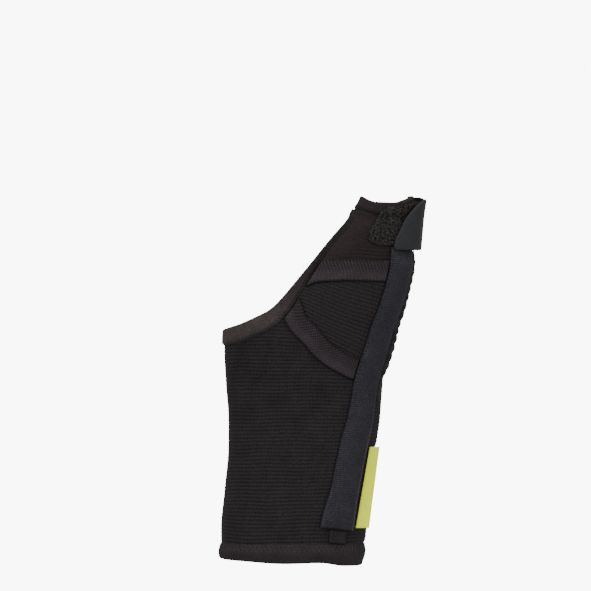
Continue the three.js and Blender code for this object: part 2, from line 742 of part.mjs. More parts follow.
// Pile patch on the front of the thumb, between the channel's top and the thumb hem.
function loopPatch() {
  const columns = 8
  const rows = 8
  const foot = CHANNEL_TOP + 5 * GAP
  const top = turn => thumbEdgeHeight(turn) - THUMB_HEM_WIDTH - 2 * GAP
  const sheet = grid(columns, rows, (u, v) => {
    const turn = mix(palmTurn(read(PATCH_EDGE, 'rise', 'across', v)), THREE.MathUtils.degToRad(PATCH_END), u)
    return { turn, z: mix(foot, top(turn), v) }
  })
  return thickened('loop_patch', sheet, OUTSIDE, OUTSIDE + PATCH_THICKNESS, PILE_BLACK)
}

// Blank label, a flat tab that stands out from under the channel's outer edge.
function labelTab() {
  const length = CHANNEL_TOP - CHANNEL_FOOT
  const edge = besideLine(share => channelAt(CHANNEL_FOOT + share * length), -CHANNEL_WIDTH / 2 - 2 * GAP)
  const foot = lifted(edge(LABEL_RISE / length), OUTSIDE + GAP)
  const top = lifted(edge((LABEL_RISE + LABEL_LENGTH) / length), OUTSIDE + GAP)
  const rise = top.clone().sub(foot).normalize()
  const lean = new THREE.Vector3(1, LABEL_LEAN, 0).normalize()
  const depth = lean.clone().cross(rise).normalize()
  const corner = (up, out, thick) => foot.clone().addScaledVector(rise, up * LABEL_LENGTH)
    .addScaledVector(lean, out * LABEL_WIDTH).addScaledVector(depth, thick * LABEL_THICKNESS)
  const face = thick => [corner(0, 0, thick), corner(0, 1, thick), corner(1, 1, thick), corner(1, 0, thick)]
  const points = [...face(0), ...face(1)]
  const faces = [[0, 3, 2, 1], [4, 5, 6, 7], [0, 1, 5, 4], [1, 2, 6, 5], [2, 3, 7, 6], [3, 0, 4, 7]]
  const triangles = faces.flatMap(([a, b, c, d]) => [[a, b, c], [a, c, d]])
  return mesh('label_tab', points, triangles, LABEL_LIME)
}

const splint = new THREE.Group()
splint.add(
  sleeveBody(),
  thenarGusset(),
  thumbPanel(),
  tape('lower_band', lowerBandLine),
  tape('upper_band', upperBandLine),
  forearmHem(),
  thumbHem(),
  palmBinding(),
  stayChannel(),
  channelTail(),
  sideSeam(),
  thumbStrap(),
  strapTab(),
  loopPatch(),
  labelTab(),
)

export default splint
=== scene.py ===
# %% [markdown]
# # A thumb splint in ribbed elastic knit
# The real splint is a knitted tube that is pulled over the hand. Tapes cross the ball of the thumb, a
# webbing pocket runs down the thumb side over a stay, and a strap closes round the thumb. Every piece lies
# on one form, the skin side of the knit, so this lesson first writes that form as a function. Then each
# piece is a grid of places on it, lifted by its own thickness.

import math
from collections import Counter

import bpy
import numpy as np
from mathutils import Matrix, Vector


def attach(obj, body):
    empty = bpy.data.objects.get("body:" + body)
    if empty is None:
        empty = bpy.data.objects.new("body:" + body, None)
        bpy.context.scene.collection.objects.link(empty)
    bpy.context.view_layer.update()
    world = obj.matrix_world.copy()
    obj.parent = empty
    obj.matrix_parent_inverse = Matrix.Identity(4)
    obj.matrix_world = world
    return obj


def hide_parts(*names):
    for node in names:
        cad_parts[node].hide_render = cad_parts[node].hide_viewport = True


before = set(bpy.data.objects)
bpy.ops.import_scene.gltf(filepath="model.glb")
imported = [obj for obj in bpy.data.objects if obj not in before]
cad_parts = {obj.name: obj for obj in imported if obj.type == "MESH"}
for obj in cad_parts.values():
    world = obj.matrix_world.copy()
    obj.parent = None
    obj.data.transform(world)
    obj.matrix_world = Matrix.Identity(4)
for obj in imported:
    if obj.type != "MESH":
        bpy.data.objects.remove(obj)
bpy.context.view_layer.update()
print("nodes in the frame:", len(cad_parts))

# %% [markdown]
# ## Camera
# The photograph looks straight at the palm side from far away. A long lens a few metres off gives the same
# flat view: its frame is as wide as the sensor's share of the distance.

# %% Camera
VIEW_WIDTH = 0.3191
VIEW_CENTRE = (0.0024, -0.012, 0.1459)
VIEW_DISTANCE = 3.2


def new_object(name, data):
    made = bpy.data.objects.new(name, data)
    bpy.context.collection.objects.link(made)
    return made


camera = new_object("camera", bpy.data.cameras.new("camera"))
camera.data.sensor_width = 36.0
camera.data.lens = camera.data.sensor_width * VIEW_DISTANCE / VIEW_WIDTH
camera.location = (VIEW_CENTRE[0], VIEW_CENTRE[1] - VIEW_DISTANCE, VIEW_CENTRE[2])
camera.rotation_euler = (math.pi / 2, 0.0, 0.0)
camera.data.clip_end = 30.0
bpy.context.scene.camera = camera
print("lens, mm:", round(camera.data.lens))

# %% [markdown]
# ## The form
# A section of the sleeve is a squarish oval. A short table gives its four sides at a few heights, and a
# smooth curve through the rows gives them at every height. A place on the form is then a turn round the
# arm and a height: 0 is the thumb side, a quarter turn back is the palm side, and half a turn is the
# little finger side. Sizes are in millimetres until a mesh is made.

# %% Sizes
MM = 0.001
LENGTH = 199.0
FOREARM_WIDTH = 72.6
FOREARM_DEPTH = 56.0
PALM_EDGE = 126.4
SQUARENESS = 2.35
KNIT = 1.2
GAP = 0.3
OUTSIDE = KNIT + GAP
BETWEEN_RIBS = KNIT - 0.15
HEM_WIDTH = 10.8
THUMB_HEM_WIDTH = 5.4
WEB_BINDING = 2.4
PALM_BINDING = 7.6
LEAF = 0.9
FOLD_CLEAR = 0.6
TURNED_EDGE = GAP + LEAF
WEB_HEIGHT = LENGTH - THUMB_HEM_WIDTH - WEB_BINDING - 4 * GAP
KNIT_TOP = LENGTH - 6.5


def table(columns, *rows):
    return dict(zip(columns.split(), np.array(rows, float).T))


SECTIONS = table(
    "up little thumb palm back",
    (0.0, -1.0, 0.98, -1.0, 1.0),
    (0.1, -1.015, 1.03, -0.97, 0.97),
    (0.2, -0.965, 1.115, -0.91, 0.91),
    (0.33, -0.905, 1.215, -0.84, 0.84),
    (0.4, -0.905, 1.27, -0.815, 0.81),
    (0.49, -0.94, 1.31, -0.84, 0.785),
    (0.59, -0.965, 1.44, -0.91, 0.735),
    (0.64, -0.955, 1.5, -0.955, 0.705),
    (0.7, -0.61, 1.61, -0.995, 0.645),
    (0.76, -0.26, 1.69, -1.015, 0.545),
    (0.82, 0.11, 1.75, -1.0, 0.41),
    (0.88, 0.485, 1.755, -0.95, 0.28),
    (0.94, 0.86, 1.755, -0.89, 0.165),
    (1.0, 1.125, 1.77, -0.84, 0.09),
    (1.05, 1.195, 1.77, -0.82, 0.06),
)
HAND_EDGE = table(
    "up across",
    (0.0, -1.0), (0.04, -0.83), (0.09, -0.725), (0.16, -0.65), (0.26, -0.635), (0.365, -0.645),
    (0.52, -0.68), (0.68, -0.735), (0.83, -0.8), (0.94, -0.875), (1.0, -1.0),
)
print("sections:", len(SECTIONS["up"]))


# %% Form
def smooth(share):
    held = np.clip(share, 0.0, 1.0)
    return held * held * (3 - 2 * held)


def read(rows, key, column, at):
    """Reads a table between its rows, on a curve that never swings past two neighbouring rows."""
    keys, values = rows[key], rows[column]
    run, slope = np.diff(keys), np.diff(values) / np.diff(keys)
    bend = np.concatenate([slope[:1], np.zeros(len(keys) - 2), slope[-1:]])
    product, total = slope[:-1] * slope[1:], slope[:-1] + slope[1:]
    bend[1:-1] = np.where(product > 0, 2 * product / np.where(product > 0, total, 1), 0)
    at = np.clip(at, keys[0], keys[-1])
    i = np.clip(np.searchsorted(keys, at, side="right") - 1, 0, len(run) - 1)
    t = (at - keys[i]) / run[i]
    near = values[i] * (1 + 2 * t) * (1 - t) ** 2 + bend[i] * run[i] * t * (1 - t) ** 2
    return near + values[i + 1] * t * t * (3 - 2 * t) + bend[i + 1] * run[i] * t * t * (t - 1)


def section(z):
    up = np.asarray(z) / LENGTH
    side = {name: read(SECTIONS, "up", name, up) / 2 for name in SECTIONS if name != "up"}
    little, thumb = side["little"] * FOREARM_WIDTH, side["thumb"] * FOREARM_WIDTH
    palm, back = side["palm"] * FOREARM_DEPTH, side["back"] * FOREARM_DEPTH
    return (little + thumb) / 2, (palm + back) / 2, (thumb - little) / 2, (back - palm) / 2


def on_form(turn, z):
    x, y, half_width, half_depth = section(z)
    cos, sin = np.cos(turn), np.sin(turn)
    reach = (np.abs(cos) ** SQUARENESS + np.abs(sin) ** SQUARENESS) ** (-1 / SQUARENESS)
    return np.stack(np.broadcast_arrays(x + half_width * cos * reach, y + half_depth * sin * reach, z), -1)


def palm_turn(across):
    """The place on the palm side that lies across the section by a share of its half width."""
    held = np.clip(across, -1.0, 1.0)
    return np.arctan2(-((1 - np.abs(held) ** SQUARENESS) ** (1 / SQUARENESS)), held)


dot = lambda a, b: (a * b).sum(-1)
unit = lambda a: a / np.linalg.norm(a, axis=-1, keepdims=True)
print("form at the wrist:", [round(float(v), 1) for v in on_form(0.0, 90.0)])

# %% [markdown]
# ## Walking over the form
# A tape is so many millimetres wide, and a turn is an angle, so widths need a way to walk a distance over
# the form. Two small differences give the directions round and up, and their cross product points out.


# %% Directions and walks
def slopes(turn, z):
    step = 0.002
    around = (on_form(turn + step, z) - on_form(turn - step, z)) / (2 * step)
    up = (on_form(turn, z + step) - on_form(turn, z - step)) / (2 * step)
    return around, up, unit(np.cross(around, up))


def lifted(turn, z, out):
    return on_form(turn, z) + slopes(turn, z)[2] * np.asarray(out, float)[..., None]


def walk(turn, z, direction, distance):
    turn, z, distance = (np.array(v, float) for v in np.broadcast_arrays(turn, z, distance))
    steps = max(1, math.ceil(np.abs(distance).max() / 1.5))
    heading = direction
    for _ in range(steps):
        around, up, normal = slopes(turn, z)
        heading = unit(heading - normal * dot(heading, normal)[..., None])
        a, b, c = dot(around, around), dot(around, up), dot(up, up)
        along_round, along_up = dot(heading, around), dot(heading, up)
        scale = distance / steps / (a * c - b * b)
        turn = turn + scale * (c * along_round - b * along_up)
        z = z + scale * (a * along_up - b * along_round)
    return turn, z


def headings(line, share, closed=False, nudge=0.004):
    """The direction of a line of places, and the direction to its left as seen from outside."""
    ahead, behind = share + nudge, share - nudge
    if closed:
        ahead, behind = ahead % 1, behind % 1
    else:
        ahead, behind = np.minimum(1, ahead), np.maximum(0, behind)
    heading = unit(on_form(*line(ahead)) - on_form(*line(behind)))
    return heading, np.cross(slopes(*line(share))[2], heading)


def beside(line, distance):
    return lambda share: walk(*line(share), headings(line, share)[1], distance)


def straight(start, end):
    return lambda share: tuple(a + (b - a) * share for a, b in zip(start, end))


walked = walk(-1.5, 60.0, np.array([0, 0, 1.0]), 10.0)
print("a 10 mm walk up the palm side:", [round(float(v), 2) for v in walked])

# %% [markdown]
# ## Lines on the form
# The opening for the hand, the two tapes, the pocket and the two round edges are lines on the form. The
# tapes start at the opening and end at the pocket's middle line.

# %% Lines
LOWER_BAND = table(
    "up across",
    (0.737, -0.645), (0.722, -0.56), (0.697, -0.42), (0.667, -0.245), (0.635, -0.055),
    (0.587, 0.155), (0.556, 0.369), (0.535, 0.581), (0.523, 0.77),
)
UPPER_BAND = table(
    "up across",
    (0.786, -0.67), (0.799, -0.57), (0.804, -0.35), (0.805, -0.1), (0.804, 0.17), (0.802, 0.45), (0.8, 0.8),
)
POCKET = table(
    "up across",
    (0.0, 0.665), (0.105, 0.66), (0.206, 0.67), (0.315, 0.705), (0.382, 0.75), (0.45, 0.79),
    (0.545, 0.825), (0.64, 0.86), (0.762, 0.855), (0.86, 0.835), (1.05, 0.82),
)
FOREARM_EDGE = table(
    "degrees rise",
    (-180, 0.36), (-130, 0.25), (-95, 0.14), (-66, 0.18), (-42, 0.02), (-15, 0.0), (15, 0.1),
    (90, 0.2), (180, 0.36),
)
THUMB_EDGE_RISE, THUMB_EDGE_DIP = 0.7, 4.2


def hand_edge(share):
    up = (1 - np.cos(np.pi * np.asarray(share, float))) / 2
    return palm_turn(read(HAND_EDGE, "up", "across", up)), PALM_EDGE + (WEB_HEIGHT - PALM_EDGE) * up


def pocket_at(z):
    return palm_turn(read(POCKET, "up", "across", np.asarray(z) / LENGTH)), np.asarray(z, float)


def at_web(turn):
    """One at the web of the thumb, falling to nothing on both sides of it."""
    return np.exp(-(((np.pi - np.abs(turn)) / 0.45) ** 2))


def at_side(turn):
    """One at the thumb side of the forearm, falling to nothing towards the palm and the back."""
    return np.exp(-(((turn - 0.1) / 0.33) ** 2))


def thumb_edge(turn):
    """The upper edge of the knit, which dips at the front and at the back of the thumb."""
    dip = THUMB_EDGE_DIP * np.abs(np.sin(turn)) ** 1.5
    return turn, LENGTH - TURNED_EDGE + THUMB_EDGE_RISE - at_web(turn) - dip


def forearm_rise(turn):
    return HEM_WIDTH * read(FOREARM_EDGE, "degrees", "rise", np.degrees(turn))


def tape_line(rows, start):
    """A tape's middle line, moved at its ends so that it meets the opening and the pocket."""
    numbered = {**rows, "step": np.linspace(0, 1, len(rows["up"]))}
    plain = lambda share: (
        palm_turn(read(numbered, "step", "across", share)),
        read(numbered, "step", "up", share) * LENGTH,
    )
    end = pocket_at(rows["up"][-1] * LENGTH)
    move = straight([a - b for a, b in zip(start, plain(0.0))], [a - b for a, b in zip(end, plain(1.0))])
    return lambda share: tuple(a + b for a, b in zip(plain(share), move(share)))


EDGE_STEPS = 32
BAND_START, GUSSET_END = 12 / EDGE_STEPS, 15 / EDGE_STEPS
lower_line = tape_line(LOWER_BAND, hand_edge(BAND_START))
upper_line = tape_line(UPPER_BAND, hand_edge(GUSSET_END))
BAND_FOOT, BAND_HEAD = LOWER_BAND["up"][-1] * LENGTH, UPPER_BAND["up"][-1] * LENGTH
ends = [[round(float(v), 2) for v in lower_line(share)] for share in (0.0, 1.0)]
print("lower tape runs from", ends[0], "to", ends[1])

# %% [markdown]
# ## From grids to cloth
# Each sheet of cloth is one or more grids of places, with a lower and an upper distance out from the form.
# The helper joins grids where their places fall together, adds the skin side, and closes the rims, so the
# cloth is a closed wall. Each corner keeps its place in millimetres along the cloth as UV, for the weave.
# Two attributes help the rib tree: the direction out, and how much a place may rise.


# %% Cloth from grids
def grid(turn, z, u, v, low, high, rise=1.0):
    turn, z, u, v, low, high, rise = np.broadcast_arrays(turn, z, u, v, low, high, rise)
    return {"turn": turn, "z": z, "u": u, "v": v, "low": low, "high": high, "rise": rise}


def set_points(mesh, name, kind, values):
    """Stores a number or a direction with each point of a mesh."""
    field = "vector" if kind == "FLOAT_VECTOR" else "value"
    mesh.attributes.new(name, kind, "POINT").data.foreach_set(field, np.ravel(values))


def triangles(mesh):
    return sum(len(p.vertices) - 2 for p in mesh.polygons)


def finished_object(name, mesh, material):
    mesh.validate()
    mesh.shade_smooth()
    if material:
        mesh.materials.append(material)
    sides = Counter(key for polygon in mesh.polygons for key in polygon.edge_keys)
    print(name, "triangles:", triangles(mesh), "open edges:", sum(n != 2 for n in sides.values()))
    return new_object(name, mesh)


def shell(name, top, bottom, quads, uv, out, rise, material=None):
    """A closed wall from two layers of points. Points that fall together become one."""
    _, first, number = np.unique(np.round(top, 3), axis=0, return_index=True, return_inverse=True)
    count = len(first)
    corners = number.reshape(-1)[quads]
    edges = np.concatenate([corners[:, [i, (i + 1) % 4]] for i in range(4)])
    sources = np.concatenate([quads[:, [i, (i + 1) % 4]] for i in range(4)])
    real = edges[:, 0] != edges[:, 1]
    edges, sources = edges[real], sources[real]
    lone = ~np.isin(edges[:, 0] * count + edges[:, 1], edges[:, 1] * count + edges[:, 0])
    rim, rim_source = edges[lone], sources[lone]
    walls = np.stack([rim[:, 1], rim[:, 0], rim[:, 0] + count, rim[:, 1] + count], 1)
    faces = np.concatenate([corners, corners[:, ::-1] + count, walls])
    where = np.concatenate([quads, quads[:, ::-1], rim_source[:, [1, 0, 0, 1]]])
    keep = faces != np.roll(faces, 1, axis=1)
    enough = keep.sum(1) >= 3
    faces, where, keep = faces[enough], where[enough], keep[enough]
    mesh = bpy.data.meshes.new(name)
    points = np.concatenate([top[first], bottom[first]])
    mesh.from_pydata(points * MM, [], [f[k].tolist() for f, k in zip(faces, keep)])
    mesh.uv_layers.new(name="UVMap").data.foreach_set("uv", uv[where[keep]].ravel())
    set_points(mesh, "out", "FLOAT_VECTOR", np.concatenate([out[first]] * 2))
    set_points(mesh, "rise", "FLOAT", np.concatenate([rise[first], rise[first] * 0]))
    return finished_object(name, mesh, material)


def grid_quads(rows, columns, start=0):
    index = start + np.arange(rows * columns).reshape(rows, columns)
    return np.stack([index[:-1, :-1], index[:-1, 1:], index[1:, 1:], index[1:, :-1]], -1).reshape(-1, 4)


def cloth(name, *grids, material=None):
    parts = {key: np.concatenate([g[key].ravel() for g in grids]) for key in grids[0]}
    starts = np.cumsum([0] + [g["turn"].size for g in grids])
    quads = np.concatenate([grid_quads(*g["turn"].shape, start) for g, start in zip(grids, starts)])
    out = slopes(parts["turn"], parts["z"])[2]
    base = on_form(parts["turn"], parts["z"])
    top, bottom = (base + out * parts[key][:, None] for key in ("high", "low"))
    uv = np.stack([parts["u"], parts["v"]], 1)
    return shell(name, top, bottom, quads, uv, out, parts["rise"], material)


def along(points):
    """The distance along each row of points."""
    steps = np.linalg.norm(np.diff(points, axis=-2), axis=-1)
    return np.concatenate([np.zeros_like(steps[..., :1]), np.cumsum(steps, -1)], -1)


def length_of(turn, z):
    """The length of one line on the form, in metres."""
    return float(along(on_form(turn, z))[-1]) * MM


def edged(length, spacing, edge):
    """Positions along a length, closer at both rims so that the rims can be round."""
    rim = edge * np.array([0.0, 0.15, 0.45, 1.0])
    middle = np.linspace(edge, length - edge, max(3, round((length - 2 * edge) / spacing)))[1:-1]
    return np.concatenate([rim, middle, length - rim[::-1]])


def rounded(position, length, edge):
    """The share of its full thickness that cloth has near its rims."""
    near = np.clip(np.minimum(position, length - position) / edge, 0, 1)
    return 0.2 + 0.8 * np.sqrt(1 - (1 - near) ** 2)


print("cloth helpers ready")

# %% [markdown]
# ## Shader groups
# The finishes share a few effects, each a node group. All of them give a shade, which multiplies the
# colour, and a height for the bump. They read the place along the cloth in millimetres, so a pattern
# follows the cloth wherever it bends. A small class lets the formulas be written as plain sums.


# %% Node helpers
class Value:
    """A number in a node tree. Each sum with it adds a Math node to the tree."""

    def __init__(self, tree, source):
        self.tree, self.source = tree, source

    def math(self, operation, other=0.0, clamp=False):
        both = {0: self, 1: other}
        node = add_node(self.tree, "ShaderNodeMath", both, operation=operation, use_clamp=clamp)
        return Value(self.tree, node.outputs[0])

    def __add__(self, other):
        return self.math("ADD", other)

    def __sub__(self, other):
        return self.math("SUBTRACT", other)

    def __mul__(self, other):
        return self.math("MULTIPLY", other)

    def __truediv__(self, other):
        return self.math("DIVIDE", other)

    def __rsub__(self, other):
        return Value(self.tree, other) - self

    def __rtruediv__(self, other):
        return Value(self.tree, other) / self

    __radd__, __rmul__ = __add__, __mul__


def wire(tree, node, inputs):
    """Sets a node's inputs, each to a plain value or to what another node gives."""
    for key, value in inputs.items():
        value = value.source if isinstance(value, Value) else value
        if isinstance(value, bpy.types.NodeSocket):
            tree.links.new(value, node.inputs[key])
        else:
            node.inputs[key].default_value = value
    return node


def add_node(tree, kind, inputs=None, **settings):
    node = tree.nodes.new(kind)
    for key, value in settings.items():
        setattr(node, key, value)
    return wire(tree, node, inputs or {})


SOCKETS = {float: "NodeSocketFloat", int: "NodeSocketInt"}


def new_group(name, kind, inputs, outputs):
    """A node group. Each of its inputs is given by a default value, or by its kind."""
    group = bpy.data.node_groups.new(name, kind)
    for way, labels in (("INPUT", inputs), ("OUTPUT", outputs)):
        for label, value in labels.items():
            socket_type = SOCKETS.get(type(value), value)
            made = group.interface.new_socket(label, in_out=way, socket_type=socket_type)
            if type(value) in SOCKETS:
                made.default_value = value
    return group


def effect(name, inputs, build):
    """A shader group that reads a place and gives a shade and a height."""
    outputs = {"Shade": SOCKETS[float], "Height": SOCKETS[float]}
    tree = new_group(name, "ShaderNodeTree", {"Place": "NodeSocketVector", **inputs}, outputs)
    source = tree.nodes.new("NodeGroupInput").outputs
    split = add_node(tree, "ShaderNodeSeparateXYZ", {0: source["Place"]}).outputs
    given = {label: Value(tree, source[label]) for label in inputs}
    shade, height = build(given, {axis: Value(tree, split[axis]) for axis in "XYZ"})
    add_node(tree, "NodeGroupOutput", {"Shade": shade, "Height": height})
    return tree


def wave(value, pitch, phase=0.0):
    """A wave from 0 to 1 with a length of pitch."""
    return (value / pitch * (2 * math.pi) + phase).math("COSINE") * 0.5 + 0.5


def weighed(pattern, strength):
    """A shade that is 1 on the pattern's peaks and falls by the strength in its valleys."""
    return 1.0 - strength * (1.0 - pattern)


def cloud(place, size, stretch=1.0):
    """Soft noise over the cloth, with spots of a size, drawn out along the cloth by a stretch."""
    tree = place["X"].tree
    joined = add_node(tree, "ShaderNodeCombineXYZ", {"X": place["X"] / stretch, "Y": place["Y"]})
    noise = {"Detail": 3.0, "Scale": 1.0 / size, "Vector": joined.outputs[0]}
    return Value(tree, add_node(tree, "ShaderNodeTexNoise", noise).outputs["Fac"])


# %% Rib shade: the grooves between ribs get less light, more in some patches than in others
def rib_shade(given, place):
    crest = wave(place["Y"], given["Pitch"])
    swing = (cloud(place, 7.0, 0.6) - 0.5) * given["Patches"] + 1.0
    return weighed(crest.math("POWER", 0.6), given["Strength"] * swing), crest


RIB_SHADE = effect("Rib shade", {"Pitch": 2.0, "Strength": 0.4, "Patches": 3.0}, rib_shade)


# %% Knit loops: small V stitches in columns, half a step apart from one column to the next
def knit_loops(given, place):
    wales = wave(place["X"], given["Column"])
    lean = (place["X"] / given["Column"]).math("PINGPONG", 0.5) * given["Lean"]
    height = wave(place["Y"] / given["Row"] + lean, 1.0) * 0.6 + wales * 0.4
    return weighed(height, given["Strength"]), height


KNIT_LOOPS = effect("Knit loops", {"Column": 1.1, "Row": 0.9, "Lean": 2.2, "Strength": 0.3}, knit_loops)


# %% Cross ribs: the fine weft cords of grosgrain webbing
def cross_ribs(given, place):
    height = wave(place["X"], given["Pitch"]) * 0.75 + wave(place["Y"], given["Warp"], 0.7) * 0.25
    return weighed(height, given["Strength"]), height


CROSS_RIBS = effect("Cross ribs", {"Pitch": 1.1, "Warp": 0.7, "Strength": 0.3}, cross_ribs)


# %% Diamonds: two sets of slanting cords that cross, stronger towards one edge of the tape
def diamonds(given, place):
    rising = wave(place["X"] + place["Y"], given["Pitch"])
    cords = rising.math("MAXIMUM", wave(place["X"] - place["Y"], given["Pitch"]))
    share = (place["Y"] * given["Upper edge"] / 3.0).math("ADD", 0.6, clamp=True)
    return weighed(cords, given["Strength"] * share), cords


DIAMONDS = effect("Diamonds", {"Pitch": 2.0, "Upper edge": 1.0, "Strength": 0.35}, diamonds)


# %% Edge line: a darker or lighter line along the edges of a strip; on the pocket the dark lines are painted shade at its rims and the light lines are painted highlights on its selvedges
def edge_line(given, place):
    left, right = place["Y"] * given["Left"], place["Y"] * -1.0 * given["Right"]
    away = given["Width"] / 2.0 - left.math("MAXIMUM", right)
    clear = (away - given["Inset"]).math("ABSOLUTE").math("DIVIDE", given["Line"], clamp=True)
    return weighed(clear, given["Strength"]), clear


EDGE_LINE = effect(
    "Edge line",
    {"Width": 10.0, "Inset": 1.0, "Line": 0.5, "Left": 1.0, "Right": 1.0, "Strength": 0.5},
    edge_line,
)


# %% Mottling: cloth is never one even colour, and lint shows on black
def mottling(given, place):
    spots = cloud(place, given["Size"], given["Stretch"])
    return ((spots - 0.5) * given["Strength"] + 1.0).math("MAXIMUM", 0.05), spots


MOTTLING = effect("Mottling", {"Size": 6.0, "Stretch": 1.0, "Strength": 0.6}, mottling)


# %% Fade: a shade that falls from one height on the splint to another, which reads the object's own place
def fade(given, place):
    share = (place["Z"] - given["Start"]).math("DIVIDE", given["End"] - given["Start"], clamp=True)
    return 1.0 - share * (1.0 - given["Low"]), share * 0.0


FADE = effect("Fade", {"Start": 0.1, "End": 0.2, "Low": 0.5}, fade)
print("effects:", [g.name for g in bpy.data.node_groups])

# %% [markdown]
# ## Finishes
# Every cloth of the splint is close to black, so what tells them apart is small: how blue or brown the
# black is, how it scatters light at a grazing angle, and the size of its weave. A finish is a Principled
# shader with sheen, whose colour is multiplied by the shades of its effects and whose bump adds up their
# heights.


# %% Finish helper
SPECULAR, SHEEN_ROUGHNESS = 0.08, 0.55


def finish(name, roughness, sheen, effects):
    colour = COLOURS[name]
    material = bpy.data.materials.new(name)
    material.use_nodes = True
    tree = material.node_tree
    cloth_place = add_node(tree, "ShaderNodeUVMap", uv_map="UVMap").outputs[0]
    object_place = add_node(tree, "ShaderNodeTexCoord").outputs["Object"]
    shade, height = 1.0, 0.0
    for group, depth, values in effects:
        place = object_place if group == FADE else cloth_place
        given = add_node(tree, "ShaderNodeGroup", {"Place": place, **values}, node_tree=group).outputs
        shade = shade * Value(tree, given["Shade"])
        height = height + Value(tree, given["Height"]) * depth
    tinted = {"Factor": 1.0, 6: (*colour, 1.0), 7: shade}
    tint = add_node(tree, "ShaderNodeMix", tinted, data_type="RGBA", blend_type="MULTIPLY")
    bump = add_node(tree, "ShaderNodeBump", {"Distance": MM, "Height": height})
    wire(tree, tree.nodes["Principled BSDF"], {
        "Roughness": roughness,
        "Specular IOR Level": SPECULAR,
        "Sheen Weight": sheen,
        "Sheen Roughness": SHEEN_ROUGHNESS,
        "Sheen Tint": (*[min(1.0, 3 * c) for c in colour], 1.0),
        "Base Color": tint.outputs[2],
        "Normal": bump.outputs[0],
    })
    material.diffuse_color = (*colour, 1.0)
    return material


# %% Finishes of the splint
RIB_PITCH = 2.0
RIB_HEIGHT = 0.16
POCKET_WIDTH = 15.6
BAND_WIDTH = 11.6
LABEL_WIDTH = 7.5
COLOURS = {
    "Ribbed knit": (0.0169, 0.0143, 0.0162),
    "Fan knit": (0.0176, 0.0147, 0.0157),
    "Smooth knit": (0.0167, 0.0128, 0.0126),
    "Elastic tape": (0.0253, 0.0197, 0.0228),
    "Turned hem": (0.0217, 0.0173, 0.0197),
    "Edge binding": (0.0390, 0.0309, 0.0305),
    "Pocket webbing": (0.0218, 0.0208, 0.0258),
    # The strap webbing is far darker than its cloth: its colour is painted shade for the shadowed top and
    # back of the strap's loop.
    "Strap webbing in painted shade": (0.0050, 0.0050, 0.0055),
    "Tab laminate": (0.0191, 0.0196, 0.0210),
    "Loop pile": (0.0261, 0.0241, 0.0230),
    "Label satin": (0.66, 0.76, 0.03),
    "Dark thread": (0.0080, 0.0070, 0.0078),
    "Seam edge": (0.0250, 0.0230, 0.0265),
    "Hem thread": (0.0370, 0.0310, 0.0335),
}


def knitted(depth, column, row, strength, lean=2.2):
    return KNIT_LOOPS, depth, {"Column": column, "Row": row, "Lean": lean, "Strength": strength}


def corded(depth, pitch, warp, strength):
    return CROSS_RIBS, depth, {"Pitch": pitch, "Warp": warp, "Strength": strength}


def spotted(depth, size, strength, stretch=1.0):
    return MOTTLING, depth, {"Size": size, "Stretch": stretch, "Strength": strength}


def margin(width, inset, line, strength, **sides):
    values = {"Width": width, "Inset": inset, "Line": line, "Strength": strength, **sides}
    return EDGE_LINE, 0.0, values


fine, streaks = spotted(0.08, 0.9, 1.3), spotted(0.05, 0.8, 1.0, stretch=2.6)
broad = spotted(0.04, 11.0, 0.75)
ribbed_knit = finish("Ribbed knit", 0.85, 0.12, [
    (RIB_SHADE, 0.0, {"Pitch": RIB_PITCH, "Strength": 0.3}),
    knitted(0.22, 2.1, 2.0, 0.26, lean=0.3), streaks, fine, broad,
])
fan_knit = finish("Fan knit", 0.85, 0.12, [
    (RIB_SHADE, 0.0, {"Pitch": RIB_PITCH, "Strength": 0.3, "Patches": 1.5}),
    knitted(0.2, 2.1, 2.0, 0.16, lean=0.3), streaks, fine,
])
smooth_knit = finish("Smooth knit", 0.9, 0.15, [knitted(0.1, 0.9, 0.8, 0.2), fine, broad])
tape = finish("Elastic tape", 0.85, 0.12, [
    (DIAMONDS, 0.24, {"Pitch": 1.75, "Strength": 0.75}), margin(BAND_WIDTH, 0.0, 0.8, 0.9), fine, broad,
])
hem_knit = finish("Turned hem", 0.88, 0.12, [knitted(0.16, 1.0, 0.9, 0.25), fine, broad])
binding = finish("Edge binding", 0.88, 0.15, [
    knitted(0.16, 1.1, 0.9, 0.25), fine, spotted(0.08, 4.0, 0.9),
    (FADE, 0.0, {"Start": 0.134, "End": 0.158, "Low": 0.42}),
])
webbing = finish("Pocket webbing", 0.75, 0.12, [
    corded(0.16, 1.1, 0.8, 0.35),
    # The dark lines at both rims of the pocket are painted shade, and the light lines just inside them are
    # painted highlights on the selvedges.
    margin(POCKET_WIDTH, 0.0, 0.5, 0.6, Right=0.0),
    margin(POCKET_WIDTH, 1.2, 0.8, -1.1, Left=0.0),
    margin(POCKET_WIDTH, 0.1, 0.7, 0.6, Left=0.0),
    margin(POCKET_WIDTH, 0.9, 0.4, -0.45, Right=0.0),
    streaks, fine, spotted(0.04, 8.0, 0.7),
])
shaded_strap_web = finish("Strap webbing in painted shade", 0.85, 0.1, [corded(0.12, 1.2, 1.0, 0.3), fine])
tab_laminate = finish("Tab laminate", 0.6, 0.08, [
    knitted(0.05, 0.8, 0.8, 0.12), spotted(0.05, 1.0, 0.5), spotted(0.02, 6.0, 0.4),
])
pile = finish("Loop pile", 0.95, 0.25, [spotted(0.3, 1.2, 5.6)])
satin = finish("Label satin", 0.5, 0.2, [
    corded(0.05, 0.6, 0.5, 0.12), margin(LABEL_WIDTH, 0.5, 0.4, 0.15), spotted(0.02, 5.0, 0.12),
])
thread = finish("Dark thread", 0.7, 0.1, [fine])
seam_edge = finish("Seam edge", 0.85, 0.12, [fine, spotted(0.1, 2.4, 2.5)])
light_thread = finish("Hem thread", 0.65, 0.2, [fine, spotted(0.0, 5.0, 1.6)])
print("finishes:", len(bpy.data.materials))

